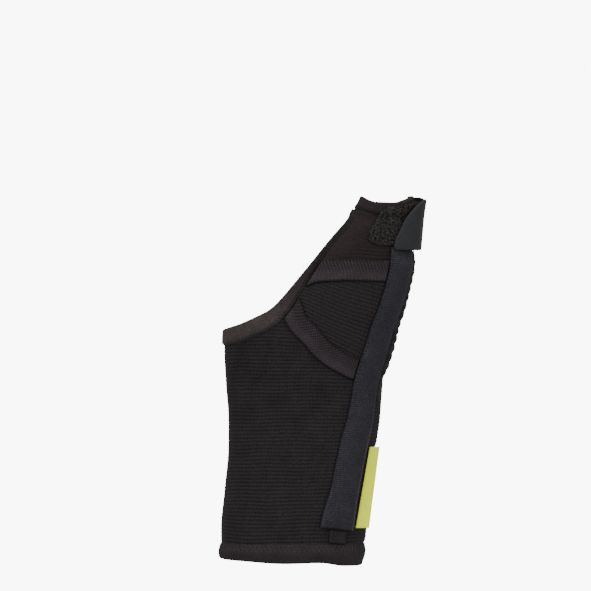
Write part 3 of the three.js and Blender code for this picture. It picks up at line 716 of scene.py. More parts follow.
# %% [markdown]
# ## Ribs by Geometry Nodes
# The knit has crosswise ribs all over, so a tree raises them: it moves every outer point along its own
# direction out, by a wave of the place along the cloth. The pitch and the height are inputs, and the same
# tree serves the body and the fan.


# %% Rib tree
def attribute(tree, name, kind):
    node = add_node(tree, "GeometryNodeInputNamedAttribute", {"Name": name}, data_type=kind)
    return node.outputs["Attribute"]


def geometry_tree(name, inputs):
    """A tree that works on a piece, and the sockets that give it the piece and its other inputs."""
    inputs = {"Geometry": "NodeSocketGeometry", **inputs, "Finish": "NodeSocketMaterial"}
    tree = new_group(name, "GeometryNodeTree", inputs, {"Geometry": "NodeSocketGeometry"})
    return tree, tree.nodes.new("NodeGroupInput").outputs


def hand_out(tree, given, geometry):
    """Gives the tree's geometry the finish, and ends the tree with it."""
    painted = add_node(tree, "GeometryNodeSetMaterial", {"Geometry": geometry, "Material": given["Finish"]})
    add_node(tree, "NodeGroupOutput", {"Geometry": painted.outputs[0]})


rib_tree, given = geometry_tree("Ribs", {"Pitch": RIB_PITCH * MM, "Height": RIB_HEIGHT * MM})
rib_place, rise = (Value(rib_tree, attribute(rib_tree, key, "FLOAT")) for key in ("rib_place", "rise"))
push = wave(rib_place, given["Pitch"]) * given["Height"] * rise
offset = {0: attribute(rib_tree, "out", "FLOAT_VECTOR"), "Scale": push}
offset = add_node(rib_tree, "ShaderNodeVectorMath", offset, operation="SCALE").outputs[0]
moved = add_node(rib_tree, "GeometryNodeSetPosition", {"Geometry": given["Geometry"], "Offset": offset})
real = add_node(rib_tree, "GeometryNodeRealizeInstances", {0: moved.outputs[0]})
hand_out(rib_tree, given, real.outputs[0])


def grown(piece, tree, **values):
    """Runs a tree on a piece and keeps the result as its plain mesh."""
    modifier = piece.modifiers.new(tree.name, "NODES")
    modifier.node_group = tree
    for item in tree.interface.items_tree:
        if item.in_out == "INPUT" and item.name in values:
            modifier[item.identifier] = values[item.name]
    seen = piece.evaluated_get(bpy.context.evaluated_depsgraph_get())
    mesh = bpy.data.meshes.new_from_object(seen)
    piece.modifiers.remove(modifier)
    piece.data = mesh
    print(piece.name, "after", tree.name, "triangles:", triangles(mesh))


def ribbed(piece, material):
    """Raises ribs along the second UV direction of a piece."""
    mesh = piece.data
    corner_uv = np.empty(len(mesh.loops) * 2, np.float32)
    mesh.uv_layers["UVMap"].data.foreach_get("uv", corner_uv)
    vertex = np.empty(len(mesh.loops), np.int32)
    mesh.loops.foreach_get("vertex_index", vertex)
    value = np.zeros(len(mesh.vertices), np.float32)
    value[vertex] = corner_uv[1::2] * MM
    set_points(mesh, "rib_place", "FLOAT", value)
    grown(piece, rib_tree, Pitch=RIB_PITCH * MM, Height=RIB_HEIGHT * MM, Finish=material)


print("rib tree nodes:", len(rib_tree.nodes))

# %% [markdown]
# ## Placing a piece in the frame
# Each finished piece rides on the splint's one body and stands for its plain solid, which is hidden. The
# cut's size is measured on the piece itself, but not kept.


# %% Placing helper
def placed(piece, node, flat=None):
    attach(piece, "root")
    if node:
        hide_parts(node)
    if flat:
        area = min(flat[0] * flat[1], one_side(piece))
    return piece


def one_side(piece):
    return sum(p.area for p in piece.data.polygons) / 2


# %% [markdown]
# ## Body of the sleeve
# The body is one ring of ribbed knit. Below the opening a row of the grid goes all the way round. Above
# the lower tape a row stops at the tape and starts again behind the pocket, and beside the opening it
# stops at the opening's edge. Level rows let the ribs run level, as they do in the real knit.


# %% Body grids
def opening_turn(z):
    """How far a row reaches towards the little finger side at a height."""
    up = np.clip((z - PALM_EDGE) / (WEB_HEIGHT - PALM_EDGE), 0, 1)
    return -palm_turn(read(HAND_EDGE, "up", "across", up))


ROW_SPACING = 0.5


def heights(*stops):
    """The rows' heights, so close that each rib has four, with a row at every stop."""
    counts = [max(2, math.ceil((b - a) / ROW_SPACING) + 1) for a, b in zip(stops, stops[1:])]
    parts = [np.linspace(a, b, n)[:-1] for a, b, n in zip(stops, stops[1:], counts)]
    return np.concatenate([*parts, stops[-1:]])


def ripple(turn, z):
    """Ribs are never quite straight: a slow wave of a few tenths of a millimetre."""
    slow = 0.28 * np.sin(2.3 * turn + 0.031 * z) + 0.2 * np.sin(5.1 * turn - 0.083 * z + 1.0)
    return slow + 0.12 * np.sin(0.19 * z + 9 * turn)


WRIST_BULGE, HEM_BULGE = 1.1, 2.6


def knit_rows(z, start, end, columns):
    """Rows of knit between two turns. The thumb side bulges at the wrist and above the hem."""
    share = np.linspace(0, 1, columns + 1)
    turn = start[:, None] + (end - start)[:, None] * share
    height = np.repeat(z[:, None], columns + 1, 1)
    middle = along(on_form(turn, height))
    offset = (turn[:, :1] / np.pi) * section(height)[2][:, :1] * 1.6
    wrist = WRIST_BULGE * smooth((height - 60) / 8) * (1 - smooth((height - 97) / 8))
    above_hem = HEM_BULGE * smooth((height - 5) / 11) * (1 - smooth((height - 30) / 30))
    out = BETWEEN_RIBS + at_side(turn) * (wrist + above_hem)
    return grid(turn, height, middle + offset, height + ripple(turn, height), 0.0, out)


BODY_FOOT = TURNED_EDGE + 0.36 * HEM_WIDTH + 0.6
TAPE_TIP = float(hand_edge(BAND_START)[1])
edge_rows = PALM_EDGE + np.array([0.02, 0.08, 0.2, 0.35])
shares = np.linspace(0, 1, 400)
lower_turn, lower_z = lower_line(shares)
tape_turn = lambda z: np.interp(z, lower_z[::-1], lower_turn[::-1])

ring = heights(BODY_FOOT, BAND_FOOT)
palm_rows = heights(BAND_FOOT, PALM_EDGE, PALM_EDGE + 0.5, TAPE_TIP)
back_rows = heights(BAND_FOOT, PALM_EDGE, PALM_EDGE + 0.5, WEB_HEIGHT, KNIT_TOP)
palm_rows = np.sort(np.concatenate([palm_rows, edge_rows]))
back_rows = np.sort(np.concatenate([back_rows, edge_rows]))
half = np.full(len(ring), np.pi)
body = cloth(
    "ribbed_body",
    knit_rows(ring, -half, pocket_at(ring)[0], 72),
    knit_rows(ring, pocket_at(ring)[0], half, 56),
    knit_rows(palm_rows, -opening_turn(palm_rows), tape_turn(palm_rows), 72),
    knit_rows(back_rows, pocket_at(back_rows)[0], opening_turn(back_rows), 56),
)

# %% Body ribs
ribbed(body, ribbed_knit)
around = length_of(np.linspace(-np.pi, np.pi, 200), np.full(200, 30.0))
placed(body, "sleeve_body", flat=(around * 1.12, LENGTH * MM))

# %% [markdown]
# ## Fan over the ball of the thumb
# Between the two tapes lies a fan of the same knit. Its ribs slant down towards the thumb and spread, as
# if they all came from one far point above the little finger. A patch between four edges fills such a
# shape: it blends the two long edges and the two short ones.


# %% Patch between four edges
def patch(columns, rows, foot, top, first, last):
    u, v = np.meshgrid(np.linspace(0, 1, columns + 1), np.linspace(0, 1, rows + 1))
    corners = [edge(end) for edge in (foot, top) for end in (0.0, 1.0)]
    parts = zip(foot(u), top(u), first(v), last(v), *corners)
    return tuple(
        (1 - v) * low + v * high + (1 - u) * left + u * right
        - (1 - v) * ((1 - u) * c00 + u * c10) - v * ((1 - u) * c01 + u * c11)
        for low, high, left, right, c00, c10, c01, c11 in parts
    )


def bent(line, end, corner):
    """Shifts a line so that it ends at a corner."""
    return lambda share: tuple(a + (c - e) * share for a, e, c in zip(line(share), end, corner))


PANEL_GAP = 0.5
FAN_APEX = np.array([-129.0, 194.6])
FAN_REACH = 180.0
FAN_PITCH = 2.2


def up_the_pocket(start, end):
    return lambda share: pocket_at(start + (end - start) * np.asarray(share, float))


def fan_lines():
    foot, top = beside(lower_line, PANEL_GAP), beside(upper_line, -PANEL_GAP)
    side = beside(up_the_pocket(BAND_FOOT, BAND_HEAD), PANEL_GAP)
    corner = (side(0.0)[0], foot(1.0)[1])
    return bent(foot, foot(1.0), corner), bent(top, top(1.0), side(1.0))


low_edge, high_edge = fan_lines()
short_edges = [straight(low_edge(end), high_edge(end)) for end in (0.0, 1.0)]
turn, z = patch(64, 110, low_edge, high_edge, *short_edges)
from_apex = on_form(turn, z)[..., [0, 2]] - FAN_APEX
spread = np.arctan2(from_apex[..., 1], from_apex[..., 0]) * FAN_REACH * RIB_PITCH / FAN_PITCH
reach = np.hypot(*np.moveaxis(from_apex, -1, 0))
fan = cloth("fan_gusset", grid(turn, z, reach, spread + ripple(turn, z), 0.0, BETWEEN_RIBS))
ribbed(fan, fan_knit)
placed(fan, "thenar_gusset", flat=(0.062, 0.06))

# %% [markdown]
# ## Front of the thumb
# Above the upper tape the knit is smooth. It follows the opening's edge, goes over the web, and ends at the
# thumb's hem. Where the strap pulls at it, a few shallow creases run across just above the tape.


# %% Thumb panel
LEFT_SPLIT = 0.86
WEB_TURN = -np.pi + 0.02


def thumb_lines():
    foot = beside(upper_line, PANEL_GAP)
    side = beside(up_the_pocket(BAND_HEAD, KNIT_TOP), PANEL_GAP)

    def left(share):
        """Up the opening's edge first, then over the web to the hem."""
        turn, z = hand_edge(GUSSET_END + (1 - GUSSET_END) * np.minimum(share / LEFT_SPLIT, 1))
        over = np.clip((share - LEFT_SPLIT) / (1 - LEFT_SPLIT), 0, 1)
        on_edge = share < LEFT_SPLIT
        higher = WEB_HEIGHT + (KNIT_TOP - WEB_HEIGHT) * over
        return np.where(on_edge, np.maximum(turn, WEB_TURN), WEB_TURN), np.where(on_edge, z, higher)

    top = straight((WEB_TURN, KNIT_TOP), side(1.0))
    return bent(foot, foot(1.0), side(0.0)), top, left, side


turn, z = patch(90, 90, *thumb_lines())
points = on_form(turn, z)
across, _, up = np.moveaxis(points, -1, 0)
creases = np.exp(-(((up - 168.5) / 3.4) ** 2)) * smooth((across - 24) / 16)
creased = 0.34 * creases * np.sin(2 * np.pi * up / 1.9 + 0.1 * across + np.sin(0.3 * across))
sheet = grid(turn, z, along(points), z, 0.0, KNIT - 0.1 + creased)
thumb_front = cloth("thumb_front", sheet, material=smooth_knit)
placed(thumb_front, "thumb_panel", flat=(0.056, 0.045))

# %% [markdown]
# ## Folded edges
# The hem round the forearm, the thumb's hem and the binding round the opening are all a strip folded over
# the knit's edge. One profile does for all three: an outer leaf that swells a little, a round fold, and an
# inner leaf. It is swept along the edge, and the leaf's width may change on the way.

# %% Folded edge
FOLD_ARC = np.linspace(np.pi / 2, -np.pi / 2, 9)
LEAF_STEPS = 11


def fold_profile(width, shape):
    """Places across the fold: how far in from the knit's edge, and how far out from the form.
    The shape is the outer leaf's swell, the run over which it thins, its distance out, and its rim's."""
    swell, taper, over, rim = shape
    middle = (over - FOLD_CLEAR) / 2
    reach = over + LEAF - middle
    thinning = lambda s: (over + LEAF - rim) * smooth((1 - s) * width / taper)
    height = lambda s: rim + thinning(s) + swell * math.sin(np.pi * s)
    outer = [(width * s, height(s)) for s in np.linspace(1, 0.04, LEAF_STEPS)]
    fold = [(-GAP - 0.9 * math.cos(a), middle + reach * math.sin(a)) for a in FOLD_ARC]
    inner = [(width * s, -FOLD_CLEAR - LEAF) for s in (0.3, 0.65, 1.0)]
    back = [(width * s, min(over, height(s) - 0.35)) for s in (0.35, 0.7, 1.0)]
    inside = [(width, -FOLD_CLEAR), (-GAP / 2, -FOLD_CLEAR), (-GAP / 2, over)]
    return np.array(outer + fold + inner + inside + back)


def folded(name, steps, edge, width, side, shape, material, lean=None):
    """Sweeps the fold along an edge. A lean says where the fold stands out more, and by how much at its
    fold and at its rim."""
    share = np.arange(steps) / steps
    turn, z = edge(share)
    inward = headings(edge, share, closed=True)[1] * side
    profiles = np.array([fold_profile(w, shape) for w in width(share)])
    if lean:
        leaning = lean[0](turn)[:, None]
        towards_edge = np.clip(1 - profiles[..., 0] / profiles[..., 0].max(1, keepdims=True), 0, 1)
        profiles[..., 1] += leaning * lean[1] * towards_edge
        profiles[:, :LEAF_STEPS, 1] += leaning * lean[2] * (1 - towards_edge[:, :LEAF_STEPS])
    inward = np.repeat(inward[:, None], profiles.shape[1], 1)
    points = lifted(*walk(turn[:, None], z[:, None], inward, profiles[..., 0]), profiles[..., 1])
    count, corners = points.shape[:2]
    index = np.arange(count * corners).reshape(count, corners)
    ahead, across = np.roll(index, -1, 0), np.roll(index, -1, 1)
    quads = np.stack([index, across, np.roll(ahead, -1, 1), ahead], -1).reshape(-1, 4)
    a, b, c = (points.reshape(-1, 3)[quads[:, i]] for i in range(3))
    if dot(a, np.cross(b, c)).sum() < 0:
        quads = quads[:, ::-1]
    distance = along(np.concatenate([points[:, 5], points[:1, 5]])[None])[0]
    u = np.repeat(distance[:-1, None], corners, 1)
    uv = np.stack([u, profiles[..., 0]], -1).reshape(-1, 2)
    wrapped = quads // corners
    last = (wrapped == 0) & (wrapped.max(1, keepdims=True) == count - 1)
    corner_uv = uv[quads]
    corner_uv[..., 0] += np.where(last, distance[-1], 0)
    mesh = bpy.data.meshes.new(name)
    mesh.from_pydata(points.reshape(-1, 3) * MM, [], quads.tolist())
    mesh.uv_layers.new(name="UVMap").data.foreach_set("uv", corner_uv.ravel())
    return finished_object(name, mesh, material)


# %% Hem round the forearm
all_round = lambda share: np.pi * (2 * np.asarray(share, float) - 1)
forearm_line = lambda share: (all_round(share), TURNED_EDGE + forearm_rise(all_round(share)))
hem_width = lambda share: HEM_WIDTH - forearm_rise(all_round(share))
hem_shape = (0.4, 6.0, KNIT + FOLD_CLEAR, 1.4)
hem = folded("forearm_fold", 240, forearm_line, hem_width, 1, hem_shape, hem_knit, (at_side, 0.4, 2.0))
placed(hem, "forearm_hem", flat=(around, 0.0235))

# %% Hem round the thumb
thumb_line = lambda share: thumb_edge(all_round(share))
collar_width = lambda share: THUMB_HEM_WIDTH + 2.6 * at_web(all_round(share))
collar_shape = (0.0, 1.4, KNIT + 0.15, 1.3)
collar_lean = (at_web, 1.2, 0.0)
collar = folded("thumb_fold", 150, thumb_line, collar_width, -1, collar_shape, smooth_knit, collar_lean)
flat = (length_of(*thumb_line(np.linspace(0, 1, 200))), 0.0169)
placed(collar, "thumb_hem", flat=flat)


# %% Binding round the opening
def opening_line(share):
    share = np.asarray(share, float)
    turn, z = hand_edge(np.where(share < 0.5, 2 * share, 2 - 2 * share))
    return np.where(share < 0.5, turn, -turn), z


def binding_width(z):
    up = np.clip((z - PALM_EDGE) / (WEB_HEIGHT - PALM_EDGE), 0, 1)
    return PALM_BINDING + (WEB_BINDING - PALM_BINDING) * smooth(up / 0.74)


opening_width = lambda share: binding_width(opening_line(share)[1])
opening = folded("palm_fold", 260, opening_line, opening_width, -1, (0.1, 1.6, KNIT + 0.35, 1.35), binding)
flat = (length_of(*opening_line(np.linspace(0, 1, 300))), 0.0185)
placed(opening, "palm_binding", flat=flat)

# %% [markdown]
# ## Tapes
# Two elastic tapes cross the palm side, from the binding to the pocket. A tape is a ribbon: places along
# its middle line, and for each of them places to both sides. Its rims are rounded and its ends follow the
# binding and the pocket.


# %% Ribbon
def ribbon(line, share, offset):
    """Places beside a line, where share and offset are grids of the same shape."""
    turn, z = line(share)
    side = headings(line, share)[1]
    return walk(turn, z, side, offset)


def tape_end(line, offset, clear, near, far):
    """The share of the line, at each offset, where the tape is just clear."""
    near, far = np.full_like(offset, near), np.full_like(offset, far)
    for _ in range(24):
        middle = (near + far) / 2
        good = clear(*ribbon(line, middle, offset))
        near, far = np.where(good, near, middle), np.where(good, middle, far)
    return far


steps = np.linspace(0, 1, 300)
edge_points, pocket_points = on_form(*hand_edge(steps)), on_form(*pocket_at(steps * LENGTH))
away = lambda points, turn, z: np.linalg.norm(on_form(turn, z)[:, None] - points, axis=-1).min(1)
off_binding = lambda turn, z: away(edge_points, turn, z) > binding_width(z) + GAP
off_pocket = lambda turn, z: away(pocket_points, turn, z) > POCKET_WIDTH / 2 + GAP


TAPE_THICKNESS = 0.95


def tape_piece(name, line, node):
    across = edged(BAND_WIDTH, 0.8, 0.7)
    offset = across - BAND_WIDTH / 2
    start = tape_end(line, offset, off_binding, 0.0, 0.6)
    stop = tape_end(line, offset, off_pocket, 1.0, 0.4)
    share = start[:, None] + (stop - start)[:, None] * np.linspace(0, 1, 90)
    spread = np.repeat(offset[:, None], 90, 1)
    turn, z = ribbon(line, share, spread)
    run = along(on_form(turn, z))
    height = TAPE_THICKNESS * rounded(across, BAND_WIDTH, 0.7)[:, None] * rounded(run, run[:, -1:], 0.5)
    piece = cloth(name, grid(turn, z, run, spread, OUTSIDE, OUTSIDE + height), material=tape)
    flat = (float(run.max() + 1) * MM, BAND_WIDTH * 1.05 * MM)
    placed(piece, node, flat=flat)


tape_piece("lower_tape", lower_line, "lower_band")
tape_piece("upper_tape", upper_line, "upper_band")

# %% [markdown]
# ## Pocket for the stay
# The pocket is a length of grosgrain webbing sewn down along both edges, which swells over the stay inside
# it. Its foot is folded under, and its top goes thin under the thumb strap.

# %% Pocket
POCKET_FOOT = 19.8
STRAP_WIDTH = 27.6
STRAP_TOP = LENGTH - 1.0
STRAP_FOOT = STRAP_TOP - STRAP_WIDTH
POCKET_TOP = STRAP_FOOT + 1
PATCH_THICKNESS = 1.2


pocket_line = up_the_pocket(POCKET_FOOT, POCKET_TOP)

POCKET_MARGIN, POCKET_CROWN, POCKET_END, STAY_SHARE = 1.25, 2.0, 1.15, 0.84
FOOT_FLARE_LEFT, FOOT_FLARE_RIGHT, LONG_FLARE_RIGHT = 2.6, 1.0, 1.1


def pocket_height(run, across):
    """Height of the webbing: a crown over the stay, a flat margin on both sides, and a thin top."""
    side = np.abs(across) / (POCKET_WIDTH / 2)
    crown = np.sqrt(np.clip(1 - (side / STAY_SHARE) ** 2.4, 0, 1))
    full = POCKET_MARGIN + POCKET_CROWN * crown
    top = smooth((run[..., -1:] - run) / 9)
    foot = 0.75 + 0.25 * smooth(run / 5)
    wobble = 0.12 * np.sin(run / 7.0) * np.sin(across / 3 + run / 17)
    return (POCKET_END + (full - POCKET_END) * top) * foot + wobble * crown * top


across = edged(POCKET_WIDTH, 0.55, 0.7)
share, offset = np.meshgrid(np.linspace(0, 1, 240), across - POCKET_WIDTH / 2)
rise = share * (POCKET_TOP - POCKET_FOOT)
on_left, on_right = (smooth((side * offset - 4) / 3.8) for side in (1, -1))
left_flare = FOOT_FLARE_LEFT * (1 - smooth(rise / 26))
right_flare = LONG_FLARE_RIGHT * (1 - smooth((rise - 45) / 25)) + FOOT_FLARE_RIGHT * (1 - smooth(rise / 18))
turn, z = ribbon(pocket_line, share, offset + (left_flare * on_left - right_flare * on_right))
run = along(on_form(turn, z))
rims = rounded(across, POCKET_WIDTH, 0.7)[:, None] * rounded(run, run[:, -1:], 0.7)
height = pocket_height(run, offset) * rims
pocket = cloth("stay_pocket", grid(turn, z, run, offset, OUTSIDE, OUTSIDE + height), material=webbing)
placed(pocket, "stay_channel")

# %% Tail of the pocket's inner tape
TAIL_WIDTH = 9.7
TAIL_FOOT = TURNED_EDGE + HEM_WIDTH + 2 * GAP
tail_line = up_the_pocket(TAIL_FOOT, POCKET_FOOT - GAP)
across = edged(TAIL_WIDTH, 0.6, 0.5)
share, offset = np.meshgrid(np.linspace(0, 1, 16), across - TAIL_WIDTH / 2)
turn, z = ribbon(tail_line, share, offset)
run = along(on_form(turn, z))
height = 0.55 * rounded(across, TAIL_WIDTH, 0.5)[:, None] * (1 + 0.3 * np.sin(2 * np.pi * offset / 3.2))
tail = cloth("pocket_tail", grid(turn, z, run, offset, OUTSIDE, OUTSIDE + height), material=hem_knit)
placed(tail, "channel_tail")

# %% [markdown]
# ## Strap, tab and pile patch
# The strap is sewn down behind the thumb, comes round the thumb side with some slack, and ends in a tab
# with a round front edge. The tab fastens to a patch of loop pile. Strap and tab stand off the form by an
# amount that grows towards the slack and fades at both ends.

# %% Strap and tab
TAB_EDGE = table(
    "rise degrees",
    (0.0, -53), (0.08, -55.5), (0.2, -55.5), (0.3, -54), (0.55, -50), (0.84, -37.5), (1.0, -20),
)
PATCH_EDGE = table(
    "rise across", (0.0, 0.29), (0.07, 0.11), (0.24, 0.0), (0.43, -0.06), (0.8, -0.05), (1.0, 0.1)
)
STRAP_THICKNESS = 1.6
STRAP_SPLIT, STRAP_END = np.radians(14.0), np.radians(112.0)


SLACK_FOOT, SLACK_TOP = 2.2, 4.5


def standoff(turn, z):
    """Distance of the strap's inner side from the form: slack in the middle, sewn down at the far end."""
    degrees = np.degrees(turn)
    slack = SLACK_FOOT + (SLACK_TOP - SLACK_FOOT) * (z - STRAP_FOOT) / STRAP_WIDTH
    over_collar = smooth((z - LENGTH + THUMB_HEM_WIDTH + 4.5) / 3)
    settled = smooth((degrees - 84) / 24) * (0.85 - 0.45 * over_collar)
    level = OUTSIDE + (PATCH_THICKNESS + GAP) * (1 - settled)
    return level + slack * smooth((degrees + 62) / 48) * (1 - smooth((degrees - 28) / 60))


def strap_piece(name, start, end, back_rise, material):
    """A length of strap between two turns. Its back rises a little, then comes down to where it is sewn."""
    rise_mm = edged(STRAP_WIDTH, 0.6, 0.8)
    u, v = np.meshgrid(edged(1.0, 0.025, 0.03), rise_mm / STRAP_WIDTH)
    turn = start(v) + (end(v) - start(v)) * u
    rising = back_rise * (smooth(u / 0.25) - 3.0 * smooth((u - 0.34) / 0.3))
    z = STRAP_FOOT + STRAP_WIDTH * v + rising
    run = along(on_form(turn, z))
    half = STRAP_THICKNESS / 2
    middle = standoff(turn, z - rising) + half
    swell = half * rounded(rise_mm, STRAP_WIDTH, 0.8)[:, None] * rounded(run, run[:, -1:], 0.8)
    web = grid(turn, z, run, v * STRAP_WIDTH, middle - swell, middle + swell)
    return cloth(name, web, material=material), float(run.max()) * MM


straight_at = lambda turn: lambda v: turn + 0 * v
strap, strap_length = strap_piece(
    "thumb_strap_web", straight_at(STRAP_SPLIT), straight_at(STRAP_END), 1.0, shaded_strap_web
)
# Outer faces and the top edge keep the near-black webbing, which paints the shade seen above the tab; inner
# faces get the tab laminate.
strap.data.materials.append(tab_laminate)
middle_of_thumb = Vector((0.047, -0.009, 0.0))
for polygon in strap.data.polygons:
    towards = (polygon.center - middle_of_thumb) * Vector((1, 1, 0))
    inside = polygon.normal.dot(towards.normalized()) < -0.5 and polygon.center.z < (STRAP_TOP - 1.2) * MM
    polygon.material_index = int(inside)
flat = (strap_length * 1.06, STRAP_WIDTH * 1.03 * MM)
placed(strap, "thumb_strap", flat=flat)
split_gap = 1.5 * GAP / float(section(STRAP_FOOT)[3])
tab_front = lambda v: np.radians(read(TAB_EDGE, "rise", "degrees", v))
tab, tab_length = strap_piece("grey_tab", tab_front, straight_at(STRAP_SPLIT - split_gap), 0.0, tab_laminate)
flat = (tab_length * 1.1, STRAP_WIDTH * 1.05 * MM)
placed(tab, "strap_tab", flat=flat)

# %% Pile patch, which runs up over the thumb's hem
patch_foot = POCKET_TOP + 5 * GAP
u, v = np.meshgrid(edged(1.0, 0.04, 0.04), edged(1.0, 0.05, 0.04))
turn = palm_turn(read(PATCH_EDGE, "rise", "across", v)) * (1 - u) + np.radians(-14.0) * u
patch_top = thumb_edge(turn)[1]
z = patch_foot + (patch_top - 1.3 - patch_foot) * v
run = along(on_form(turn, z))
height = 0.7 * rounded(u, 1.0, 0.04) * rounded(v, 1.0, 0.04)
over_collar = OUTSIDE + 0.85 * smooth((z - patch_top + THUMB_HEM_WIDTH + 1.2) / 2.0)
web = grid(turn, z, run, v * 24, over_collar, over_collar + height)
pile_patch = cloth("pile_patch", web, material=pile)

# %% [markdown]
# ## Loop pile by Geometry Nodes
# Pile is hundreds of small loops of yarn. The tree scatters points over the patch with a fixed seed, puts
# a small arch on each of them, turned at random, and keeps the patch itself underneath.


# %% Pile tree
pile_tree, given = geometry_tree(
    "Loop pile", {"Density": 3.0e6, "Loop radius": 0.5 * MM, "Yarn radius": 0.1 * MM, "Seed": 4}
)


def pile_node(kind, inputs, **settings):
    return add_node(pile_tree, kind, inputs, **settings).outputs[0]


on_top = {0: attribute(pile_tree, "rise", "FLOAT"), 1: 0.6}
on_top = pile_node("FunctionNodeCompare", on_top, data_type="FLOAT", operation="GREATER_THAN")
where = {"Mesh": given["Geometry"], "Density": given["Density"], "Seed": given["Seed"], "Selection": on_top}
scatter = add_node(pile_tree, "GeometryNodeDistributePointsOnFaces", where, distribute_method="RANDOM")
arch = {"Resolution": 6, "Radius": given["Loop radius"], "Sweep Angle": math.pi * 1.1}
arch = pile_node("GeometryNodeCurveArc", arch)
upright = pile_node("GeometryNodeTransform", {"Geometry": arch, "Rotation": (math.pi / 2, 0.0, 0.0)})
yarn = pile_node("GeometryNodeCurvePrimitiveCircle", {"Resolution": 4, "Radius": given["Yarn radius"]})
tube = pile_node("GeometryNodeCurveToMesh", {"Curve": upright, "Profile Curve": yarn, "Fill Caps": True})
any_way = {0: (-0.5, -0.5, 0.0), 1: (0.5, 0.5, 2 * math.pi)}
any_way = pile_node("FunctionNodeRandomValue", any_way, data_type="FLOAT_VECTOR")
spin = {"Rotation": scatter.outputs["Rotation"], "Rotate By": any_way}
spin = pile_node("FunctionNodeRotateRotation", spin, rotation_space="LOCAL")
placing = {"Points": scatter.outputs["Points"], "Instance": tube, "Rotation": spin}
loops = pile_node("GeometryNodeInstanceOnPoints", placing)
loops = pile_node("GeometryNodeRealizeInstances", {0: loops})
joined = add_node(pile_tree, "GeometryNodeJoinGeometry", {0: loops})
pile_tree.links.new(given["Geometry"], joined.inputs[0])
hand_out(pile_tree, given, joined.outputs[0])
grown(pile_patch, pile_tree, Finish=pile)
placed(pile_patch, "loop_patch")

# %% [markdown]
# ## Label
# A folded ribbon of lime satin is sewn under the pocket's outer edge, and stands out from it. It is left
# blank. Real ribbon is never quite flat, so it bows a little along its length.

# %% Label
LABEL_LENGTH, LABEL_THICKNESS = 44.5, 0.8
pocket_run = POCKET_TOP - POCKET_FOOT
foot, head = (
    lifted(*beside(pocket_line, -POCKET_WIDTH / 2 - clear)(rise / pocket_run), OUTSIDE + GAP)
    for rise, clear in ((2.2, 3.4), (2.2 + LABEL_LENGTH, 2.7))
)
rise_axis = unit(head - foot)
rise_mm, wide_mm = edged(LABEL_LENGTH, 1.5, 0.4), edged(LABEL_WIDTH, 0.6, 0.4)
wide, up = np.meshgrid(wide_mm, rise_mm)
lean_angle = np.radians(12 + 18 * up / LABEL_LENGTH)
lean_axis = np.stack([np.cos(lean_angle), np.sin(lean_angle), 0 * up], -1)
depth_axis = unit(np.cross(lean_axis, rise_axis))
caught = 1 - 0.16 * up / LABEL_LENGTH
outwards = wide / LABEL_WIDTH
bow = 0.35 * np.sin(np.pi * up / LABEL_LENGTH) * outwards + 0.1 * np.sin(up / 5.0) * outwards
half = LABEL_THICKNESS / 2
swell = half * rounded(rise_mm, LABEL_LENGTH, 0.4)[:, None] * rounded(wide_mm, LABEL_WIDTH, 0.4)
base = foot + up[..., None] * rise_axis + (wide * caught)[..., None] * lean_axis
base = base + (half - bow)[..., None] * depth_axis
sides = [(base + sign * swell[..., None] * depth_axis).reshape(-1, 3) for sign in (1, -1)]
uv = np.stack([up.ravel(), wide.ravel() - LABEL_WIDTH / 2], 1)
quads, out = grid_quads(*up.shape), depth_axis.reshape(-1, 3)
label = shell("lime_label", *sides, quads, uv, out, np.ones(up.size), satin)
flat = (LABEL_LENGTH * MM * 1.02, LABEL_WIDTH * 2 * MM)
placed(label, "label_tab", flat=flat)

# %% [markdown]
# ## Stitches by Geometry Nodes
# A row of stitches follows a line, so one tree sews them all. It samples the line at the stitch's pitch,
# puts a small pill of thread at each point, and turns it along the line with its back to the cloth. A
# slant that changes sides from one stitch to the next turns a plain row into a zigzag.

# %% Stitch tree
stitch_tree, given = geometry_tree(
    "Stitches", {"Pitch": 2.0 * MM, "Length": 1.6 * MM, "Thread": 0.4 * MM, "Slant": 0.0}
)


def stitch_node(kind, inputs=None, **settings):
    return add_node(stitch_tree, kind, inputs, **settings).outputs[0]


path = stitch_node("GeometryNodeMeshToCurve", {"Mesh": given["Geometry"]})
sampled = stitch_node("GeometryNodeResampleCurve", {"Curve": path, "Length": given["Pitch"]}, mode="LENGTH")
pill = stitch_node("GeometryNodeMeshUVSphere", {"Segments": 6, "Rings": 5, "Radius": 0.5})
sizes = {"X": given["Thread"], "Y": given["Thread"], "Z": given["Length"]}
sized = stitch_node("ShaderNodeCombineXYZ", sizes)
along_path = {0: stitch_node("GeometryNodeInputTangent"), 1: attribute(stitch_tree, "up", "FLOAT_VECTOR")}
along_path = stitch_node("FunctionNodeAxesToRotation", along_path, primary_axis="Z", secondary_axis="X")
odd = Value(stitch_tree, stitch_node("GeometryNodeInputIndex")).math("MODULO", 2.0)
slant = stitch_node("ShaderNodeCombineXYZ", {"X": (odd * 2.0 - 1.0) * given["Slant"]})
slanted = {"Rotation": along_path, "Rotate By": slant}
slanted = stitch_node("FunctionNodeRotateRotation", slanted, rotation_space="LOCAL")
placing = {"Points": sampled, "Instance": pill, "Rotation": slanted, "Scale": sized}
sewn = stitch_node("GeometryNodeInstanceOnPoints", placing)
sewn = stitch_node("GeometryNodeRealizeInstances", {0: sewn})
hand_out(stitch_tree, given, stitch_node("GeometryNodeSetShadeSmooth", {0: sewn}))


